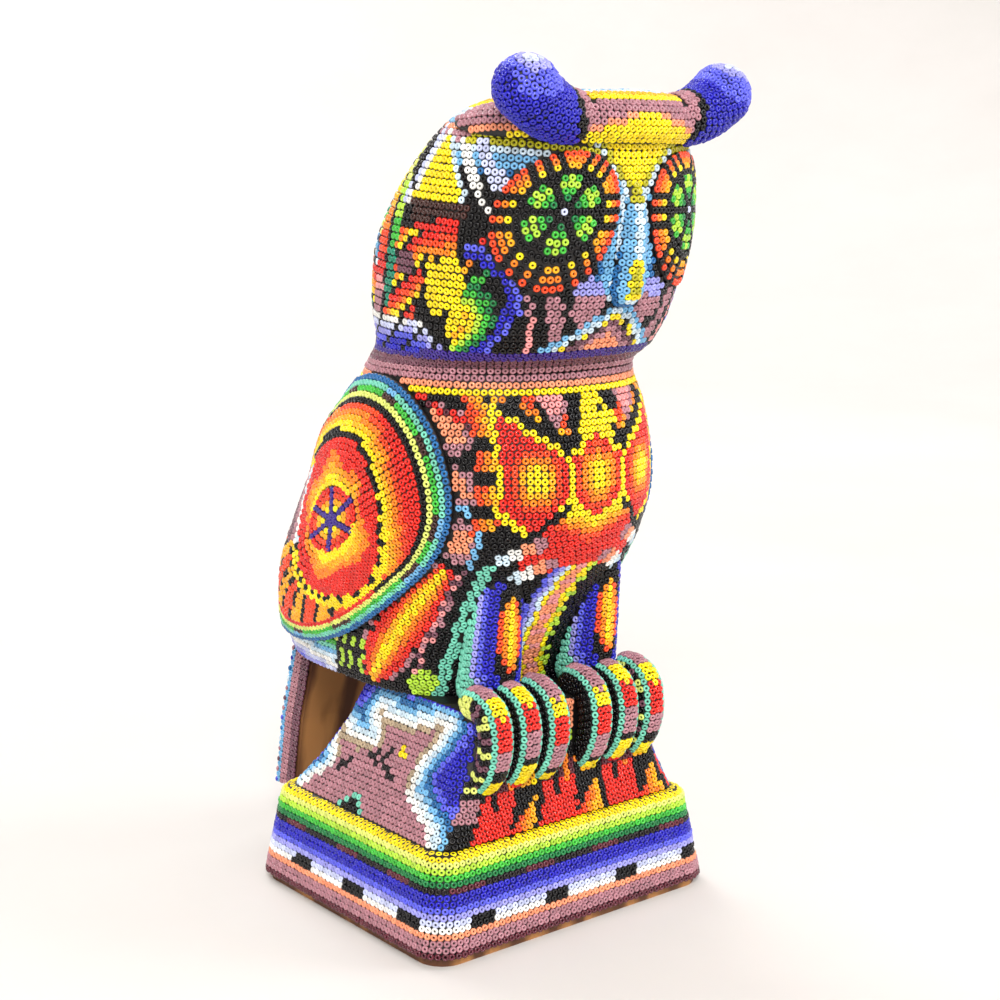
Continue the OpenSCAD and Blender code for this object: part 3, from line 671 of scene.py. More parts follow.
def owl_rows(v0, v1, rows, colour, node_of):
    table = row_table(v0, v1, rows)
    for j in range(rows):
        pts = on_owl(U_GRID[:-1], table[j, :-1])
        idx, t = spaced(pts, True, 0.5 * (j % 2))
        u, v = sample(idx, np.stack([U_GRID, table[j]], 1)).T
        w = t - arc_of(pts)[FRONT_COLUMN]
        p, n = on_owl(u, v), owl_normal(u, v)
        if v0 >= NECK_V:
            ok = pads_clear(u, v, [EYES[-1], EYES[1]], 0.35) & pads_clear(u, v, [BROW], -0.9)
            ok &= tubes_clear(p, EARS.values(), 0.1) & tubes_clear(p, [BEAK], -0.9)
        else:
            ok = pads_clear(u, v, [WINGS[-1], WINGS[1]], 0.5)
            ok &= tubes_clear(p, list(LEGS.values()) + list(TOES.values()), 0.25)
            ok &= ~((p[:, 1] > 40) & (np.abs(p[:, 0]) < TAIL_W / 2) & (p[:, 2] < PERCH_TOP + 0.8))
        share_out(node_of(u % 360, v), p, n, colour(w, p[:, 2], u, v), ok)


def torso_node(u, v):
    row = v / ROW_V
    node = np.where(u < 150, "back_panel", np.where(u < 230, "body_right_panel", "chest_eagle_panel")).astype("U24")
    node[(u >= 310) | (u < 30)] = "body_left_panel"
    node[(u >= 230) & (u < 310) & (row < 6)] = "belly_panel"
    node[row > 12] = "neck_bands"
    return node


def head_node(u, v):
    row = v / ROW_V
    node = np.full(u.shape, "nape_panel", dtype="U24")
    node[(u >= 160) & (u < 220)] = "head_right_panel"
    node[(u >= 220) & (u < 320)] = "face_panel"
    node[(u >= 320) | (u < 20)] = "head_left_panel"
    node[row > 24] = "crown_panel"
    node[row < 14] = "neck_bands"
    return node


def torso_all(w, z, u, v):
    return np.where(z > NECK_LOW, neck_colour(z), torso_colour(w, z))


def crown_colour(w, z, u, v):
    """Head colours, with level bands over the crown behind the brow."""
    x, y = BROW.xy(u, v)
    edge = BROW.size[2] * np.sqrt(np.maximum(0, 1 - (x / BROW.size[0]) ** 2))
    under = np.where((np.abs(x) < BROW.size[0]) & (y < 0), -y - edge, 99)
    c = np.where(z < NECK_HIGH, neck_colour(z), head_colour(w, z, under))
    top = (z > CROWN_Z) & (np.abs(w) > 24) & (under > 90)
    put(c, top, bands(z - CROWN_Z, 1.7, (SKY, PALE, YELLOW, AMBER, SALMON, MAUVE)))
    return c


owl_rows(0.02, NECK_V, 54, torso_all, torso_node)
owl_rows(NECK_V, 15.98, 45, crown_colour, head_node)

# crown lid: rings that close the top of the head
lid = on_owl(U_GRID[:-1], np.full(360, float(LAST)))
lid_mid = lid.mean(0)
lid_reach = np.linalg.norm(lid - lid_mid, axis=1).mean()
for k in range(1, int(lid_reach / LID_ROW)):
    s = 1 - k * LID_ROW / lid_reach
    ring = lid_mid + (lid - lid_mid) * s + np.array([0, 0, 0.8 * (1 - s * s)])
    idx = spaced(ring, True, 0.5 * (k % 2))[0]
    p = sample(idx, looped(ring))
    n = unit(np.concatenate([(p - lid_mid)[:, :2] * 0.02, np.ones((len(p), 1))], 1))
    ok = tubes_clear(p, list(EARS.values()), 0.8)
    ok &= np.abs(p[:, 1] - lid[:, 1].min()) > 2.2
    c = np.full(len(p), (MAUVE, PLUM, SKY, PALE, YELLOW, AMBER, ORANGE, VERM)[min(k, 7)])
    keep("crown_top", p, n, c, ok)


# ------------ pads: eyes, brow, wings
EYE_RING = 1.86
# marks of each ring: R ray, W wedge, P petal, . black
EYE_ROWS = {9: ".R.WWWW.R", 8: ".R.WWW.R", 7: ".R.WW.R", 5: "PPP..", 4: "PPP.", 3: "PP.", 2: "P."}
EYE_LEAD = {5: 1.5, 4: 1.0, 3: 1.0, 2: 1.0}
EYE_FIRE = {9: VERM, 8: ORANGE, 7: YELLOW}
EYE_LEAF = {5: LIME, 4: LIME, 3: GREEN, 2: FOREST}
for s in (-1, 1):
    pad = EYES[s]
    for k in range(0, 10):
        n = 6 * k if k else 1
        pattern = EYE_ROWS.get(k, ".")
        wide = len(pattern) if k else 1
        x, y = pad.oval((np.arange(n) + EYE_LEAD.get(k, 0.0)) * 2 * math.pi / n, k * EYE_RING / EYE_R)
        marks = np.array([pattern[i % wide] for i in range(n)])
        c = np.full(n, BLACK)
        c[(marks == "W") | (marks == "R")] = EYE_FIRE.get(k, BLACK)
        if k == 7:
            c[marks == "W"] = AMBER
        c[marks == "P"] = EYE_LEAF.get(k, BLACK)
        if k == 5:
            petal = marks == "P"
            c[petal & ~(np.roll(petal, 1) & np.roll(petal, -1))] = GREEN
        if k == 0:
            c[:] = LILACW
        p, nn = pad.bed(x, y)
        ok = tubes_clear(p, [BEAK], -0.3)
        keep(f"eye_{'left' if s > 0 else 'right'}", p, nn, c, ok)

# brow: rows along its length
ys = np.linspace(-BROW.size[2], BROW.size[1], 400)
prof = BROW.point(0 * ys, ys)
arc = arc_of(prof)
brow_rows = int(round(arc[-1] / ROW))
BROW_BANDS = (YELLOW, YELLOW, SALMON, MAUVE, MAUVE, MAUVE, MAUVE, YELLOW, AMBER, PALE, SKY, STEEL)
for j in range(brow_rows):
    y0 = np.interp((j + 0.5) * arc[-1] / brow_rows, arc, ys)
    half = BROW.size[0] * math.sqrt(max(0.02, 1 - (y0 / BROW.size[1 if y0 > 0 else 2]) ** 2)) - 0.6
    xs = np.linspace(-half, half, 300)
    pts = BROW.point(xs, 0 * xs + y0)
    idx = spaced(pts, False, 0.5 * (j % 2))[0]
    x = np.interp(idx, np.arange(300), xs)
    y = np.full(len(x), y0)
    p, nn = BROW.bed(x, y)
    ok = tubes_clear(p, list(EARS.values()) + [BEAK], 0.0)
    band = np.full(len(x), BROW_BANDS[min(j, len(BROW_BANDS) - 1)])
    ax = np.abs(x)
    if 1 < j < 5:
        band = np.where(ax < 21.0 - 4.4 * j, YELLOW, np.where(ax < 25.0 - 4.4 * j, SALMON, band))
    keep("brow", p, nn, band, ok)


def wing_colour(x, y, k, a):
    """k counts rings from the outside; x, y in mm from the middle of the wing, y up, x towards the front."""
    c = np.full(len(x), BLACK)
    ring = (STEEL, AQUA, GREEN, LEMON, BLACK)
    if k < 5:
        c[:] = ring[k]
        deg = np.degrees(a) % 360
        if k == 2:
            c[np.mod(deg, 34) < 10] = BROWN
        if k == 1:
            c[np.mod(deg, 68) < 8] = SKY
        if k == 4:
            low = (y < -12)
            c[low] = RED
        return c
    # rings round the star that follow its corners
    cos, sin = math.cos(STAR_TURN), math.sin(STAR_TURN)
    qx, qy = x * cos + y * sin, y * cos - x * sin
    sector = np.abs(((np.degrees(np.arctan2(qy, qx)) + 30) % 60) - 30)
    r = np.hypot(qx, qy * 0.84)
    hexa = r * np.cos(np.radians(30 - sector)) / math.cos(math.radians(30))
    point = r * (0.78 + 0.22 * sector / 30) + 1.5
    d = np.where(hexa < 10.5, hexa, np.where(r < 19, np.maximum(point, 10.6), r))
    c = bands(d, 1.9, (RED,) * 4 + (VERM, YELLOW, AMBER, ORANGE) + (RED,) * 3 + (BLACK, *FIRE[1:]))
    deg = np.degrees(a) + 4
    c[between(d, 20.9, 24.7) & (np.mod(deg, 10) < 4.0) & (y < 14)] = YELLOW
    low = (y < -9) & (d > 24.7)
    c[low] = np.where(np.mod(deg[low], 14) < 3.4, BLACK, np.where(np.mod(deg[low], 28) < 14, VERM, AMBER))
    rear = (x < -19) & between(y, -15, 10) & (d > 21)
    c[rear] = bands(-19 - x[rear], 2.0, (PALE, WHITE, MAUVE, MAUVE, PLUM))
    return c


STAR_RINGS, STAR_STEP, STAR_TURN = 5, 1.97, math.radians(-10)
STAR_REACH = STAR_RINGS * STAR_STEP
SPOKES = np.linspace(0, 2 * math.pi, 361)
SHARES = np.linspace(0, 1, 61)


for s in (-1, 1):
    pad = WINGS[s]
    name = "left" if s > 0 else "right"
    grid = pad.point(*pad.oval(SPOKES[None, :], SHARES[:, None]))
    reach = arcs_of(grid)
    rings = int(round(reach[-1].mean() / WING_ROW))
    for k in range(rings):
        want = reach[-1] * (1 - (k + 0.5) / rings)
        share = np.array([np.interp(want[i], reach[:, i], SHARES) for i in range(len(SPOKES))])
        pts = pad.point(*pad.oval(SPOKES[:-1], share[:-1]))
        idx = spaced(pts, True, 0.5 * (k % 2))[0]
        ang = np.interp(idx, np.arange(len(SPOKES)), SPOKES)
        at = np.interp(idx, np.arange(len(SPOKES)), share)
        x, y = pad.oval(ang, at)
        p, nn = pad.bed(x, y)
        r = np.interp(idx, np.arange(len(SPOKES)), want)
        c = wing_colour(-s * np.cos(ang) * r, np.sin(ang) * r, k, ang if s < 0 else math.pi - ang)
        ok = np.hypot(x, y) > STAR_REACH + 0.8
        keep(f"wing_{name}_{'border' if at.mean() > 0.74 else 'field'}", p, nn, c, ok)
    # star in the middle: hexagonal rings with one arm every sixth of a turn
    for k in range(STAR_RINGS + 1):
        i = np.arange(max(1, 6 * k))
        turn = i * 2 * math.pi / len(i) - s * STAR_TURN
        x, y = k * STAR_STEP * np.cos(turn), k * STAR_STEP * np.sin(turn)
        c = np.full(len(i), (PURPLE, PURPLE, YELLOW, AMBER, VERM, RED)[k])
        c[i % max(1, k) == 0] = PURPLE
        keep(f"wing_{name}_field", *pad.bed(x, y), c)


# ------------ tubes
def tube_frame(path, side_axis):
    """Dense path with a frame: position, radius, tangent, forward normal, side normal."""
    t = np.linspace(0, 1, TUBE_STEPS)
    k = np.linspace(0, 1, len(path))
    fine = np.stack([np.interp(t, k, path[:, j]) for j in range(4)], 1)
    for _ in range(12):
        fine[1:-1] = 0.25 * fine[:-2] + 0.5 * fine[1:-1] + 0.25 * fine[2:]
    tan = unit(np.gradient(fine[:, :3], axis=0))
    side = unit(np.asarray(side_axis, float) - (tan @ np.asarray(side_axis, float))[:, None] * tan)
    front = np.cross(tan, side)
    return fine, tan, front, side


def tube_beads(path, side_axis, flip, clear, colour, node, row=ROW):
    """Rings of beads round a tube, with rings over its far end. phi = 0 faces the front normal."""
    fine, tan, front, side = tube_frame(path, side_axis)
    front = front * flip
    arc = arc_of(fine[:, :3])
    total = arc[-1]
    count = int(round(total / row))
    rows = [(j * total / count, 0.0) for j in range(count + 1)]
    r_end = fine[-1, 3]
    steps = max(1, int(round(r_end * math.pi / 2 / ROW)))
    rows += [(total, (i + 1) * math.pi / 2 / steps) for i in range(steps)]
    for j, (s, bend) in enumerate(rows):
        idx = np.interp(s, arc, np.arange(len(fine)))
        at = [sample(idx, q) for q in (fine, tan, front, side)]
        centre, r = at[0][:3], at[0][3]
        tn, fr, sd = (unit(q) for q in at[1:])
        rr = r * math.cos(bend)
        n = max(1, int(round(2 * math.pi * rr / PITCH)))
        phi = (np.arange(n) + 0.5 * (j % 2)) * 2 * math.pi / n
        phi = np.mod(phi + math.pi, 2 * math.pi) - math.pi
        nn = (np.cos(phi)[:, None] * fr + np.sin(phi)[:, None] * sd) * math.cos(bend) + tn * math.sin(bend)
        if n == 1:
            nn = tn[None, :] + 0 * nn
        p = centre + nn * r
        ok = clear(p)
        c = colour(phi, s + r * bend, r, total)
        keep(node, p, nn, c, ok)


def tube_lines(path, clear, colour, node, half_turn):
    """Rows of beads laid along a tube, out to half_turn degrees each side of its front, then over its end."""
    fine, tan, front, side = tube_frame(path, (1, 0, 0))
    r = fine[:, 3:4]
    step = 2 * math.pi / (2 * int(round(math.pi * r.max() / PITCH)) + 1)
    for i in range(-int(math.radians(half_turn) / step), int(math.radians(half_turn) / step) + 1):
        phi = i * step
        out = math.cos(phi) * front + math.sin(phi) * side
        bend = np.radians(np.linspace(0, 62 if i % 2 == 0 else 26, 12)[1:])[:, None]
        over = unit(out[-1] * np.cos(bend) + tan[-1] * np.sin(bend))
        under = unit(out[0] * np.cos(bend) - tan[0] * np.sin(bend))[::-1]
        line = np.concatenate([fine[0, :3] + under * r[0], fine[:, :3] + out * r, fine[-1, :3] + over * r[-1]])
        nrm = np.concatenate([under, out, over])
        idx = spaced(line, False, 0.5 * (i % 2))[0]
        p, nn = sample(idx, line), unit(sample(idx, nrm))
        ok = clear(p)
        along = np.interp(idx - len(bend), np.arange(len(fine)), arc_of(fine[:, :3]))
        over_end = np.maximum(0, idx - len(bend) - len(fine) + 1) * 0.6
        c = colour(i, phi * r.max(), along + over_end)
        keep(node, p, nn, c, ok)


def leg_colour(i, x, s):
    """Nested outlines round a flame, closed below it like a stocking."""
    d = line_d(x, s, 0, 4, 0, 20.5)[0]
    c = bands(np.maximum(0, d - 3.2), 1.95, (BLACK, BLUE, BLUE, PERI, LILAC, AQUA))
    f = lens(x - (s - 12) * 0.08, s, 0, 2.5, 0, 23.5, 4.9)
    put(c, d < 3.2, BLACK)
    put(c, f < 1.0, bands(f, 0.22, (YELLOW, AMBER, ORANGE, VERM, VERM)))
    return c


TOE_BLOCKS = ((MAUVE,) * 2 + (YELLOW,) * 2 + (RED,) * 3 + (MAUVE,) * 3 + (BLACK,) + (YELLOW,) * 3 + (RED,) * 3
              + (AQUA,) * 2)
TOE_SHIFT = {"outer": 0, "middle": 1, "inner": -1}


def toe_colour(place):
    def colour(i, x, s):
        j = np.clip(((s - 1.5) / 1.95).astype(int) + TOE_SHIFT[place], 0, len(TOE_BLOCKS) - 1)
        if abs(i) > 2:
            rung = cell(s, 1.95) % 4
            rungs = np.where(rung == 0, LEMON, np.where(rung == 2, PLUM, BLACK))
            return rungs if place == "outer" and s.max() > 9 else np.full(len(s), BLACK)
        return np.full(len(s), AQUA) if abs(i) == 2 else np.array(TOE_BLOCKS)[j]
    return colour


EAR_SPOT = math.radians(-28)


def ear_colour(phi, s, r, total):
    """A blue drop with a pale middle, then black, then mauve towards the brow."""
    d = total + r * math.pi / 2 - s
    turn = np.mod(phi - EAR_SPOT + math.pi, 2 * math.pi) - math.pi
    spot = np.hypot((d - 7.0) * 0.72, np.degrees(turn) * 0.075)
    c = bands(spot, 1.9, (LILACW, LILAC, PERI, PERI, BLUE))
    end = 26.5 - 3.0 * np.cos(turn)
    put(c, d > end, BLACK)
    put(c, d > end + 2.2, MAUVE)
    return c


def beak_colour(phi, s, r, total):
    x = np.abs(phi) * r
    c = bands(x, 1.9, (PALE, SKY, SKY, STEEL, STEEL))
    low = total - s
    put(c, (x < 2.9) & (low < 7.5) & (low > -3.2), YELLOW)
    put(c, (x < 1.2) & (low < 5.5) & (low > -1.8), OLIVE)
    if low < -5.4:
        c[:] = STEEL
    if s < 5:
        put(c, x < 2.2, OLIVE)
    return c


for name, path in LEGS.items():
    tube_lines(path, lambda p: ~inside_owl(p, 0.2) & ~inside_base(p, 0.3) & (p[:, 2] > PERCH_TOP + 0.3)
               & tubes_clear(p, TOES.values(), 0.2), leg_colour, name, 150)
for name, path in TOES.items():
    others = [q for m, q in TOES.items() if m != name and abs(q[0, 0] - path[0, 0]) < 1.5 * TOE_STEP]
    tube_lines(path, lambda p: ~inside_owl(p, 0.1) & ~inside_base(p, -0.4) & tubes_clear(p, others, -0.2)
               & tubes_clear(p, LEGS.values(), 0.1), toe_colour(name.split("_")[2]), name, 150)
for name, path in EARS.items():
    side = 1 if name.endswith("left") else -1
    tube_beads(path, (0, 1, 0), side, lambda p: ~inside_owl(p, 0.2), ear_colour, name)
tube_beads(BEAK, (1, 0, 0), 1, lambda p: ~inside_owl(p, -0.1), beak_colour, "beak_ridge", row=ROW * 0.93)


# ------------ base: plinth bands and perch panels
PLINTH_ROWS = (
    YELLOW, LEMON, LIME, GREEN, FOREST, CHAR, BLUE, BLUE, PERI, LILAC, LILACW, WHITE, SALMON, MAUVE, MAUVE,
    BURGUNDY)
k_fine, arc = base_profile(0, EDGE_K, 200)
count = len(PLINTH_ROWS)


def base_normals(k, nxy):
    """Normals of the base at the row share k, from the slope of its side."""
    low, high = base_at(max(0, k - 0.05)), base_at(min(TOP_K, k + 0.05))
    dx, dz = high[0] - low[0], high[-1] - low[-1]
    return unit(np.concatenate([nxy * dz, np.full((len(nxy), 1), -dx)], 1))


def base_ring(k, phase):
    pts, nxy = base_outline(k, 0)
    idx, t = spaced(pts, True, phase)
    p = sample(idx, looped(pts))
    nn = sample(idx, looped(nxy))
    return p, base_normals(k, unit(nn)), t, arc_of(looped(pts))[-1]


for j in range(count):
    k = np.interp((j + 0.5) * arc[-1] / count, arc, k_fine)
    p, n, t, total = base_ring(k, 0.5 * (j % 2))
    row = PLINTH_ROWS[count - 1 - j]
    c = np.full(len(p), row)
    step = total / 14
    if row == CHAR:
        c[np.mod(t + 6, step) < 10.5] = BURGUNDY
    if row in (WHITE, LILACW):
        c[np.mod(t - j * 0.2, step) < 8.5] = BLACK
    node = "plinth_lower_bands" if k < 1 else "plinth_upper_bands" if k < 2 else "plinth_edge_bands"
    keep(node, p, n, c)

FACE_H = 36.0  # length up a side of the perch
# outline of the animal on the perch's sides, in shares of the panel
COYOTE = [
    (.08, -.1), (.08, .0), (.12, .12), (.18, .28), (.12, .41), (.02, .57), (.25, .50), (.37, .56), (.26, .79),
    (.49, .76), (.77, .87), (.68, .60), (.66, .45), (.67, .29), (.89, .10), (.93, -.1)]


def perch_side_colour(s, t, width):
    """s from the rear to the front and t upwards, both 0 to 1."""
    x, y = s * width, t * FACE_H
    d = poly_d(x, y, [(px * width, py * FACE_H) for px, py in COYOTE])
    c = bands(d, 1.9, (WHITE, PALE, SKY, STEEL, PERI, BLUE))
    put(c, d < 0, BEIGE)
    put(c, d < -1.7, MAUVE)
    put(c, (d < 0) & (t < 0.35), MAUVE)
    put(c, np.hypot(x - 0.54 * width, y - 20.5) < 1.7, YELLOW)
    for ax, ay, bx, by in ((.34, .43, .40, .50), (.42, .42, .47, .53), (.47, .40, .55, .36), (.20, .28, .26, .36)):
        put(c, line_d(x, y, ax * width, ay * FACE_H, bx * width, by * FACE_H)[0] < 1.0, CHAR)
    r = np.hypot(x - 0.42 * width, y)
    put(c, r < 5.6, AQUA)
    put(c, r < 3.6, BLACK)
    return c


def perch_front_colour(s, t):
    """s from the owl's right to its left."""
    c = np.full(len(s), BLACK)
    m = np.mod((s - 0.10) / 0.28, 1.0) * 25.0
    y = t * FACE_H
    body = s > 0.10
    put(c, body & between(m, 1.5, 15) & (y < 17 - np.maximum(0, 5 - m) * 1.2), RED)
    put(c, body & between(m, 1.5, 15) & between(y, 14.5, 18.5), BURGUNDY)
    put(c, body & between(m, 3, 9) & between(y, 17, 21), MAUVE)
    put(c, body & (np.abs(m - 6.5) < 1.0) & between(y, 9, 16), BLACK)
    put(c, body & (np.abs(m - 11.5) < 1.0) & between(y, 12, 24), ORANGE)
    wing = poly_d(m, y, [(14.0, 26.0), (23.5, 17.0), (23.5, 13.0), (16.5, 14.5), (14.0, 20.0)])
    put(c, body & (wing < 0), bands(m - 14.0, 2.4, (ORANGE, AMBER, AMBER, YELLOW)))
    foot = poly_d(m, y, [(14.0, 0.0), (24.0, 0.0), (24.0, 11.0), (21.0, 9.0)])
    put(c, body & (foot < 0), bands(m - 15.0, 2.2, (RED, VERM, ORANGE, AMBER)))
    put(c, between(s, 0.36, 0.62) & between(y, 24, 29) & (np.mod(m, 4.1) < 2.0), LIME)
    ladder = s < 0.10
    step = cell(y, 1.95) % 4
    put(c, ladder & (y > 13), np.where(step == 0, LEMON, np.where(step == 2, PLUM, BLACK)))
    put(c, ladder & (y <= 13), np.where(y > 8, MAUVE, BLACK))
    mid = np.abs(s - 0.5) * 78
    put(c, (y > 27) & (mid < 5.6), bands(mid, 1.9, (SALMON, SALMON, YELLOW)))
    return c


k_fine, arc = base_profile(EDGE_K, TOP_K, 300)
count = int(round(arc[-1] / ROW))
for j in range(count):
    k = np.interp((j + 0.6) * arc[-1] / count, arc, k_fine)
    p, n = base_ring(k, 0.5 * (j % 2))[:2]
    a, b, lean = base_at(k)[:3]
    if k < STEP_K:
        n = unit(n + np.array([0, 0, 1.0]))
    up = (p[:, 2] - PLINTH_H) / PERCH_H
    x, y = p[:, 0], p[:, 1] - lean
    fy = (y + b) / (2 * b)
    fx = (x + a) / (2 * a)
    on_side = np.abs(x) / a > np.abs(y) / b
    c = np.where(on_side, perch_side_colour(1 - fy, up, 2 * b), perch_front_colour(fx, up))
    back = (~on_side) & (y > 0)
    c = np.where(back, perch_side_colour(0.5 + np.abs(fx - 0.5), up, 2 * a), c)
    if k < STEP_K:
        c = np.full(len(p), YELLOW)
    node = np.where(on_side, np.where(x > 0, "perch_left_panel", "perch_right_panel"),
                    np.where(y > 0, "perch_back_panel", "perch_front_panel"))
    ok = ~((p[:, 2] > PERCH_TOP - 16) & ~tubes_clear(p, TOES.values(), 0.8))
    share_out(node, p, n, c, ok)

# top of the perch around the owl's feet
for inset in 0.9 + LID_ROW * np.arange(13):
    pts, nxy = base_outline(TOP_K, -inset)
    idx = spaced(pts, True, 0.0)[0]
    p = sample(idx, looped(pts))
    n = np.tile([0.0, 0.0, 1.0], (len(p), 1))
    p = p + np.array([0, 0, 0.35])
    ok = ~inside_owl(p + np.array([0, 0, 0.5]), -0.7)
    ok &= tubes_clear(p, list(TOES.values()) + list(LEGS.values()), -0.2)
    c = np.where(p[:, 1] > 0, MAUVE, np.where(np.abs(p[:, 0]) > 20, BLUE, BLACK))
    front = (np.abs(p[:, 0]) < 3.2) & (p[:, 1] < 0)
    c = np.where(front, SALMON, c)
    if inset < 3:
        c = np.where(front | (p[:, 1] < 0), c, BLUE)
    keep("perch_front_panel", p, n, c, ok)


# ------------ tail: beads on its outer face and edges
TAIL_BACK = 0.545 * BODY_D
tail_line = np.array([
    [TAIL_BACK, PERCH_TOP - 0.1],
    [TAIL_BACK + 0.62 * TAIL_OUT, PERCH_TOP - 0.5 * (PERCH_TOP - TAIL_END)],
    [TAIL_BACK + TAIL_OUT, TAIL_END]])
tail_arc = arc_of(tail_line)
tail_rows = int(tail_arc[-1] / ROW)
for j in range(tail_rows):
    s = (j + 0.5) * tail_arc[-1] / tail_rows
    y, z = np.interp(s, tail_arc, tail_line[:, 0]), np.interp(s, tail_arc, tail_line[:, 1])
    seg = 0 if s < tail_arc[1] else 1
    d = tail_line[seg + 1] - tail_line[seg]
    nrm = np.array([0, -d[1], d[0]]) / np.linalg.norm(d)
    n = int(TAIL_W / PITCH)
    x = (np.arange(n) - (n - 1) / 2 + 0.25 * (1 if j % 2 else -1)) * TAIL_W / n
    p = np.stack([x, np.full(n, y), np.full(n, z)], 1)
    nn = np.tile(nrm, (n, 1))
    q = s + 0.55 * np.abs(x)
    c = bands(np.mod(q, 23), 1.85, (SKY, PALE, WHITE, MAUVE, MAUVE, PLUM, SALMON, MAUVE, MAUVE, PERI, BLUE, STEEL))
    keep("tail_beads", p, nn, c)
    for side in (-1, 1):
        for off in (0.9, 2.9, 4.9, 6.9, 8.9):
            q = np.array([[side * TAIL_W / 2, y - off, z]])
            keep("tail_beads", q, np.array([[float(side), 0, 0]]), [SKY if off < 1 else MAUVE if off < 5 else PLUM])


# ------------ meshes
SEGMENTS = 10
PROFILE = np.array([[0.27, -0.50], [0.47, -0.07], [0.80, -0.05], [1.03, -0.52], [0.62, -1.12]])
TINTS, GLOSS, TINT_ODDS = (1.0, 0.86, 1.13), (0.2, 0.27, 0.16), (0.5, 0.28, 0.22)
# spread of the beads' lean, place along and out of the wax, and size
LEAN, SLIP, LIFT, GROW = 0.055, 0.045, 0.05, 0.025


def bead_material(index, tint):
    name = f"beads_{NAMES[index]}_{tint}"
    if name in bpy.data.materials:
        return bpy.data.materials[name]
    m = bpy.data.materials.new(name)
    m.use_nodes = True
    b = m.node_tree.nodes["Principled BSDF"]
    for key, value in {
        "Base Color": linear(PALETTE[NAMES[index]], TINTS[tint]), "Roughness": GLOSS[tint], "IOR": 1.5,
        "Specular IOR Level": 0.3 if index in (BLACK, CHAR) else 0.45, "Coat Weight": 0.12, "Coat Roughness": 0.08,
    }.items():
        b.inputs[key].default_value = value
    return m


def linked(name, data):
    ob = bpy.data.objects.new(name, data)
    bpy.context.scene.collection.objects.link(ob)
    return ob


def new_object(name, verts, faces):
    """Mesh object from arrays in mm; faces is an (n, 4) array."""
    me = bpy.data.meshes.new(name)
    me.vertices.add(len(verts))
    me.vertices.foreach_set("co", (np.asarray(verts) * 0.001).astype(np.float32).ravel())
    me.loops.add(faces.size)
    me.loops.foreach_set("vertex_index", faces.astype(np.int32).ravel())
    me.polygons.add(len(faces))
    me.polygons.foreach_set("loop_start", np.arange(0, faces.size, 4, dtype=np.int32))
    me.polygons.foreach_set("loop_total", np.full(len(faces), 4, np.int32))
    me.polygons.foreach_set("use_smooth", np.full(len(faces), True))
    me.update(calc_edges=True)
    return linked(name, me)


ang = np.arange(SEGMENTS) * 2 * math.pi / SEGMENTS
RING = np.stack([
    (PROFILE[:, 0][:, None] * np.cos(ang)).ravel(),
    (PROFILE[:, 0][:, None] * np.sin(ang)).ravel(),
    np.repeat(PROFILE[:, 1], SEGMENTS)], 1)
RING_FACES = np.array([
    [m * SEGMENTS + i, m * SEGMENTS + (i + 1) % SEGMENTS, (m + 1) % len(PROFILE) * SEGMENTS + (i + 1) % SEGMENTS,
     (m + 1) % len(PROFILE) * SEGMENTS + i]
    for m in range(len(PROFILE)) for i in range(SEGMENTS)])[:, ::-1]


def bead_piece(node):
    """One mesh of bead rings for a CAD node."""
    p, n, c = (np.concatenate([part[k] for part in ITEMS[node]]) for k in range(3))
    count = len(p)
    n = unit(n + rng.normal(0, LEAN, (count, 3)))
    ref = np.where(np.abs(n[:, 2:3]) < 0.9, [[0.0, 0, 1]], [[1.0, 0, 0]])
    t1 = unit(np.cross(n, ref))
    t2 = np.cross(n, t1)
    for axis, spread in ((t1, SLIP), (t2, SLIP), (n, LIFT)):
        p = p + rng.normal(0, spread, (count, 1)) * axis
    scale = rng.normal(1.0, GROW, count)[:, None, None]
    verts = (p[:, None, :] + (RING[None, :, 0:1] * scale) * t1[:, None, :]
             + (RING[None, :, 1:2] * scale) * t2[:, None, :] + RING[None, :, 2:3] * n[:, None, :])
    faces = RING_FACES[None] + (np.arange(count) * len(RING))[:, None, None]
    ob = new_object(f"{node}_mosaic", verts.reshape(-1, 3), faces.reshape(-1, 4))
    tint = rng.choice(3, count, p=TINT_ODDS)
    keys = sorted(set(zip(c.tolist(), tint.tolist())))
    for index, t in keys:
        ob.data.materials.append(bead_material(index, t))
    lookup = {key: i for i, key in enumerate(keys)}
    per_bead = np.array([lookup[(a, b)] for a, b in zip(c.tolist(), tint.tolist())], np.int32)
    ob.data.polygons.foreach_set("material_index", np.repeat(per_bead, len(RING_FACES)))
    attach(ob, "root")
    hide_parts(node)
    return ob


for node in ITEMS:
    bead_piece(node)
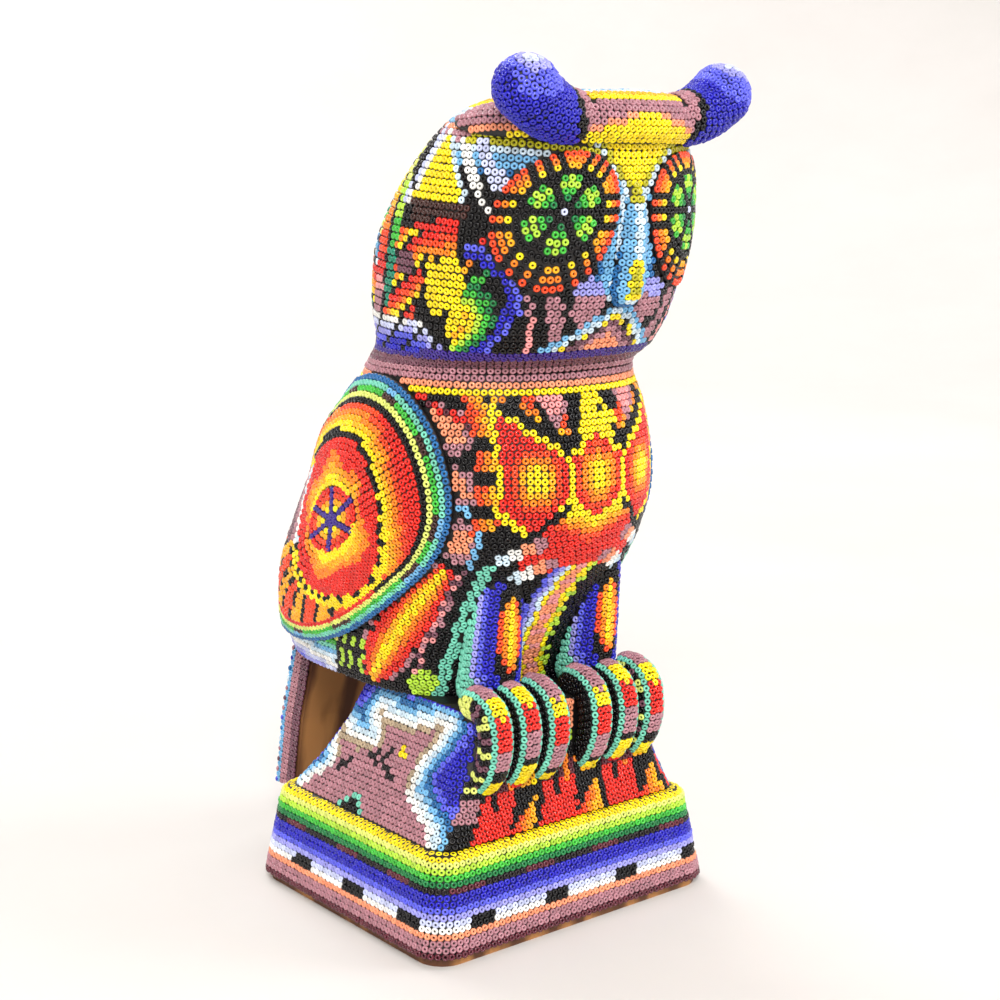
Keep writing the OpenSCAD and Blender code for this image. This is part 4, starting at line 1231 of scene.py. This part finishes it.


# ------------ wax bed under the beads; its near-black colour is partly painted shade of the gaps between beads
def noise_material(name, dark, light, scale, rough, bump, stretch=(1, 1, 1), grain=0.0):
    """Procedural material: two mixed colours, roughness and bump from object-space noise."""
    m = bpy.data.materials.new(name)
    m.use_nodes = True
    nt = m.node_tree
    surface = nt.nodes["Principled BSDF"]

    def add(kind, **inputs):
        """A shader node; an input is a value, or the socket that feeds it. Underscores stand for spaces."""
        nd = nt.nodes.new("ShaderNode" + kind)
        for key, value in inputs.items():
            socket = nd.inputs[key.replace("_", " ")]
            if isinstance(value, bpy.types.NodeSocket):
                nt.links.new(value, socket)
            else:
                socket.default_value = value
        return nd

    place = add("Mapping", Scale=stretch, Vector=add("TexCoord").outputs["Object"]).outputs["Vector"]
    source = add("TexNoise", Scale=scale, Detail=8, Roughness=0.65, Vector=place).outputs["Fac"]
    if grain:
        rings = add("TexWave", Scale=grain, Distortion=7, Detail=4, Detail_Scale=1.6, Vector=place).outputs["Fac"]
        both, half = add("Math"), add("Math")
        both.operation, half.operation = "ADD", "MULTIPLY"
        half.inputs[1].default_value = 0.5
        nt.links.new(rings, both.inputs[0])
        nt.links.new(source, both.inputs[1])
        nt.links.new(both.outputs[0], half.inputs[0])
        source = half.outputs[0]
    ramp = add("ValToRGB", Fac=source)
    for end, colour, at in zip(ramp.color_ramp.elements, (dark, light), (0.32, 0.68)):
        end.color, end.position = linear(colour), at
    nt.links.new(ramp.outputs["Color"], surface.inputs["Base Color"])
    gloss = add("MapRange", To_Min=rough[0], To_Max=rough[1], Value=source)
    nt.links.new(gloss.outputs["Result"], surface.inputs["Roughness"])
    dents = add("Bump", Strength=bump, Distance=0.0004, Height=source)
    nt.links.new(dents.outputs["Normal"], surface.inputs["Normal"])
    return m


# The wax is real, but its near-black colour is partly painted shade: it stands in for the shadow in the gaps and
# bead holes.
WAX = noise_material("dark_wax_and_gap_shade", "050405", "150f0e", 420, (0.38, 0.62), 0.6)
WOOD = noise_material("bare_wood", "5d351b", "b07a45", 60, (0.55, 0.8), 0.5, (1, 1, 0.12), 26)


def net(rows):
    """Quads between rings of equal length."""
    n, m = len(rows[0]), len(rows)
    j, i = np.meshgrid(np.arange(m - 1), np.arange(n), indexing="ij")
    a, b = j * n + i, j * n + (i + 1) % n
    return np.stack([a, b, b + n, a + n], -1).reshape(-1, 4)


def skin(name, rows, node=None):
    """Closed skin through rings of points, its two ends drawn in to a point."""
    rows = [np.asarray(r) for r in rows]
    first, last = rows[0].mean(0), rows[-1].mean(0)
    rows = [first + (rows[0] - first) * 1e-3] + rows + [last + (rows[-1] - last) * 1e-3]
    ob = new_object(name, np.concatenate(rows), net(rows))
    ob.data.materials.append(WAX)
    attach(ob, "root")
    if node:
        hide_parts(node)
    return ob


U_WAX = np.arange(0, 360, 3.0)
V_WAX = np.concatenate([np.linspace(0, NECK_V, 60), np.linspace(NECK_V, LAST, 60)[1:]])


def owl_wax(name, v0, v1, node):
    vs = [v for v in V_WAX if v0 - 1e-6 <= v <= v1 + 1e-6]
    rows = [lifted(U_WAX, np.full(len(U_WAX), v), np.full(len(U_WAX), -WAX_DROP)) for v in vs]
    if v1 >= LAST:
        rows[-1][:, 2] = np.minimum(rows[-1][:, 2], Z_TABLE[-1] - 0.1)
    return skin(name, rows, node)


owl_wax("body_wax_bed", 0, NECK_V, "body_wax")
owl_wax("head_wax_bed", NECK_V, LAST, "head_wax")
rows = [base_outline(k, -WAX_DROP, 240)[0]
        for k in np.concatenate([np.linspace(0, EDGE_K, 16), np.linspace(EDGE_K, TOP_K, 30)[1:]])]
rows[-1][:, 2] += 0.35
skin("base_wax_bed", rows, "base_wax")


def pad_wax(name, pad):
    a = np.linspace(0, 2 * math.pi, 73)[:-1]
    u, v = pad.uv(*pad.oval(a, 1.0, PAD_TRIM))
    rows = [lifted(u, v, np.full(len(u), -PAD_ROOT))]
    rows += [pad.point(*pad.oval(a, share, PAD_TRIM), WAX_DROP) for share in [1.0, *np.linspace(0.97, 0.02, 24)]]
    return skin(name, rows)


for s, name in ((1, "left"), (-1, "right")):
    pad_wax(f"eye_{name}_wax", EYES[s])
    pad_wax(f"wing_{name}_wax", WINGS[s])
pad_wax("brow_wax", BROW)


def tube_wax(name, path, side_axis):
    fine, tan, front, side = tube_frame(path, side_axis)
    phi = np.linspace(0, 2 * math.pi, 33)[:-1]
    rows = []
    ends = [(0, b) for b in np.linspace(-1.5, -0.2, 6)] + [(i, 0.0) for i in range(0, TUBE_STEPS, 8)]
    ends += [(TUBE_STEPS - 1, b) for b in np.linspace(0.2, 1.5, 7)]
    for i, bend in ends:
        r = fine[i, 3] - WAX_DROP
        out = np.cos(phi)[:, None] * front[i] + np.sin(phi)[:, None] * side[i]
        nn = out * math.cos(bend) + tan[i] * math.sin(bend)
        rows.append(fine[i, :3] + nn * r)
    return skin(name, rows)


for name, path in list(LEGS.items()) + list(TOES.items()):
    tube_wax(f"{name}_wax", path, (1, 0, 0))
for name, path in EARS.items():
    tube_wax(f"{name}_wax", path, (0, 1, 0))
tube_wax("beak_wax", BEAK, (1, 0, 0))

# The wood core takes the same near-black wax, painted shade where it shows at the owl's lower edge.
for node in ("wood_core", "plinth_rim", "tail_wood"):
    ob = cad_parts[node]
    ob.data.materials.clear()
    ob.data.materials.append(WAX if node == "wood_core" else WOOD)

# ------------ floor, light, camera
SWEEP_FLAT, SWEEP_TURN, SWEEP_WALL = 0.9, 2.2, 0.3
bend = np.radians(np.linspace(0, 90, 13))
radii = np.concatenate([[0.001, 0.3, 0.6], SWEEP_FLAT + SWEEP_TURN * np.sin(bend), [SWEEP_FLAT + SWEEP_TURN]])
rise = np.concatenate([[0, 0, 0], SWEEP_TURN * (1 - np.cos(bend)), [SWEEP_TURN + SWEEP_WALL]])
turn = np.radians(np.arange(0, 360, 5.0))
verts = np.stack([np.outer(radii, np.cos(turn)), np.outer(radii, np.sin(turn)),
                  np.outer(rise, np.ones(len(turn)))], -1)
me = bpy.data.meshes.new("floor")
me.from_pydata(verts.reshape(-1, 3).tolist(), [], net(verts).tolist())
for face in me.polygons:
    face.use_smooth = True
me.materials.append(noise_material("pale_floor", "d5d1cd", "dedad7", 1.5, (0.7, 0.85), 0.02))
linked("floor", me)

world = bpy.data.worlds.new("studio")
bpy.context.scene.world = world
world.use_nodes = True
sky = world.node_tree.nodes["Background"].inputs
sky["Color"].default_value = (1.0, 1.0, 1.0, 1)
sky["Strength"].default_value = 0.72


def area_light(name, place, target, size, power, colour=(1, 1, 1)):
    data = bpy.data.lights.new(name, "AREA")
    data.shape = "DISK"
    data.size = size
    data.energy = power
    data.color = colour
    ob = linked(name, data)
    ob.location = place
    d = np.array(target) - np.array(place)
    ob.rotation_euler = (math.atan2(math.hypot(d[0], d[1]), -d[2]) if d[2] else math.pi / 2, 0,
                         math.atan2(d[1], d[0]) - math.pi / 2)
    return ob


area_light("key", (-1.40, -1.90, 2.10), (0, 0, 0.12), 0.95, 66, (1.0, 0.98, 0.95))
area_light("fill", (2.10, -1.40, 1.25), (0, 0, 0.12), 1.4, 30, (0.95, 0.97, 1.0))
area_light("rim", (0.25, 1.90, 2.00), (0, 0, 0.15), 1.4, 30)

VIEW_AZ, VIEW_DIST, VIEW_Z, VIEW_PITCH = -38.6, 0.510, 0.2104, 10.53
cam_data = bpy.data.cameras.new("camera")
cam_data.sensor_width = 36
cam_data.lens = 64.27
cam_data.shift_x = 0.018
cam_data.clip_start = 0.01
camera = linked("camera", cam_data)
az = math.radians(VIEW_AZ)
camera.location = (math.sin(az) * VIEW_DIST, -math.cos(az) * VIEW_DIST, VIEW_Z)
camera.rotation_euler = (math.radians(90 - VIEW_PITCH), 0, az)
bpy.context.scene.camera = camera
bpy.context.scene.view_settings.view_transform = "Standard"
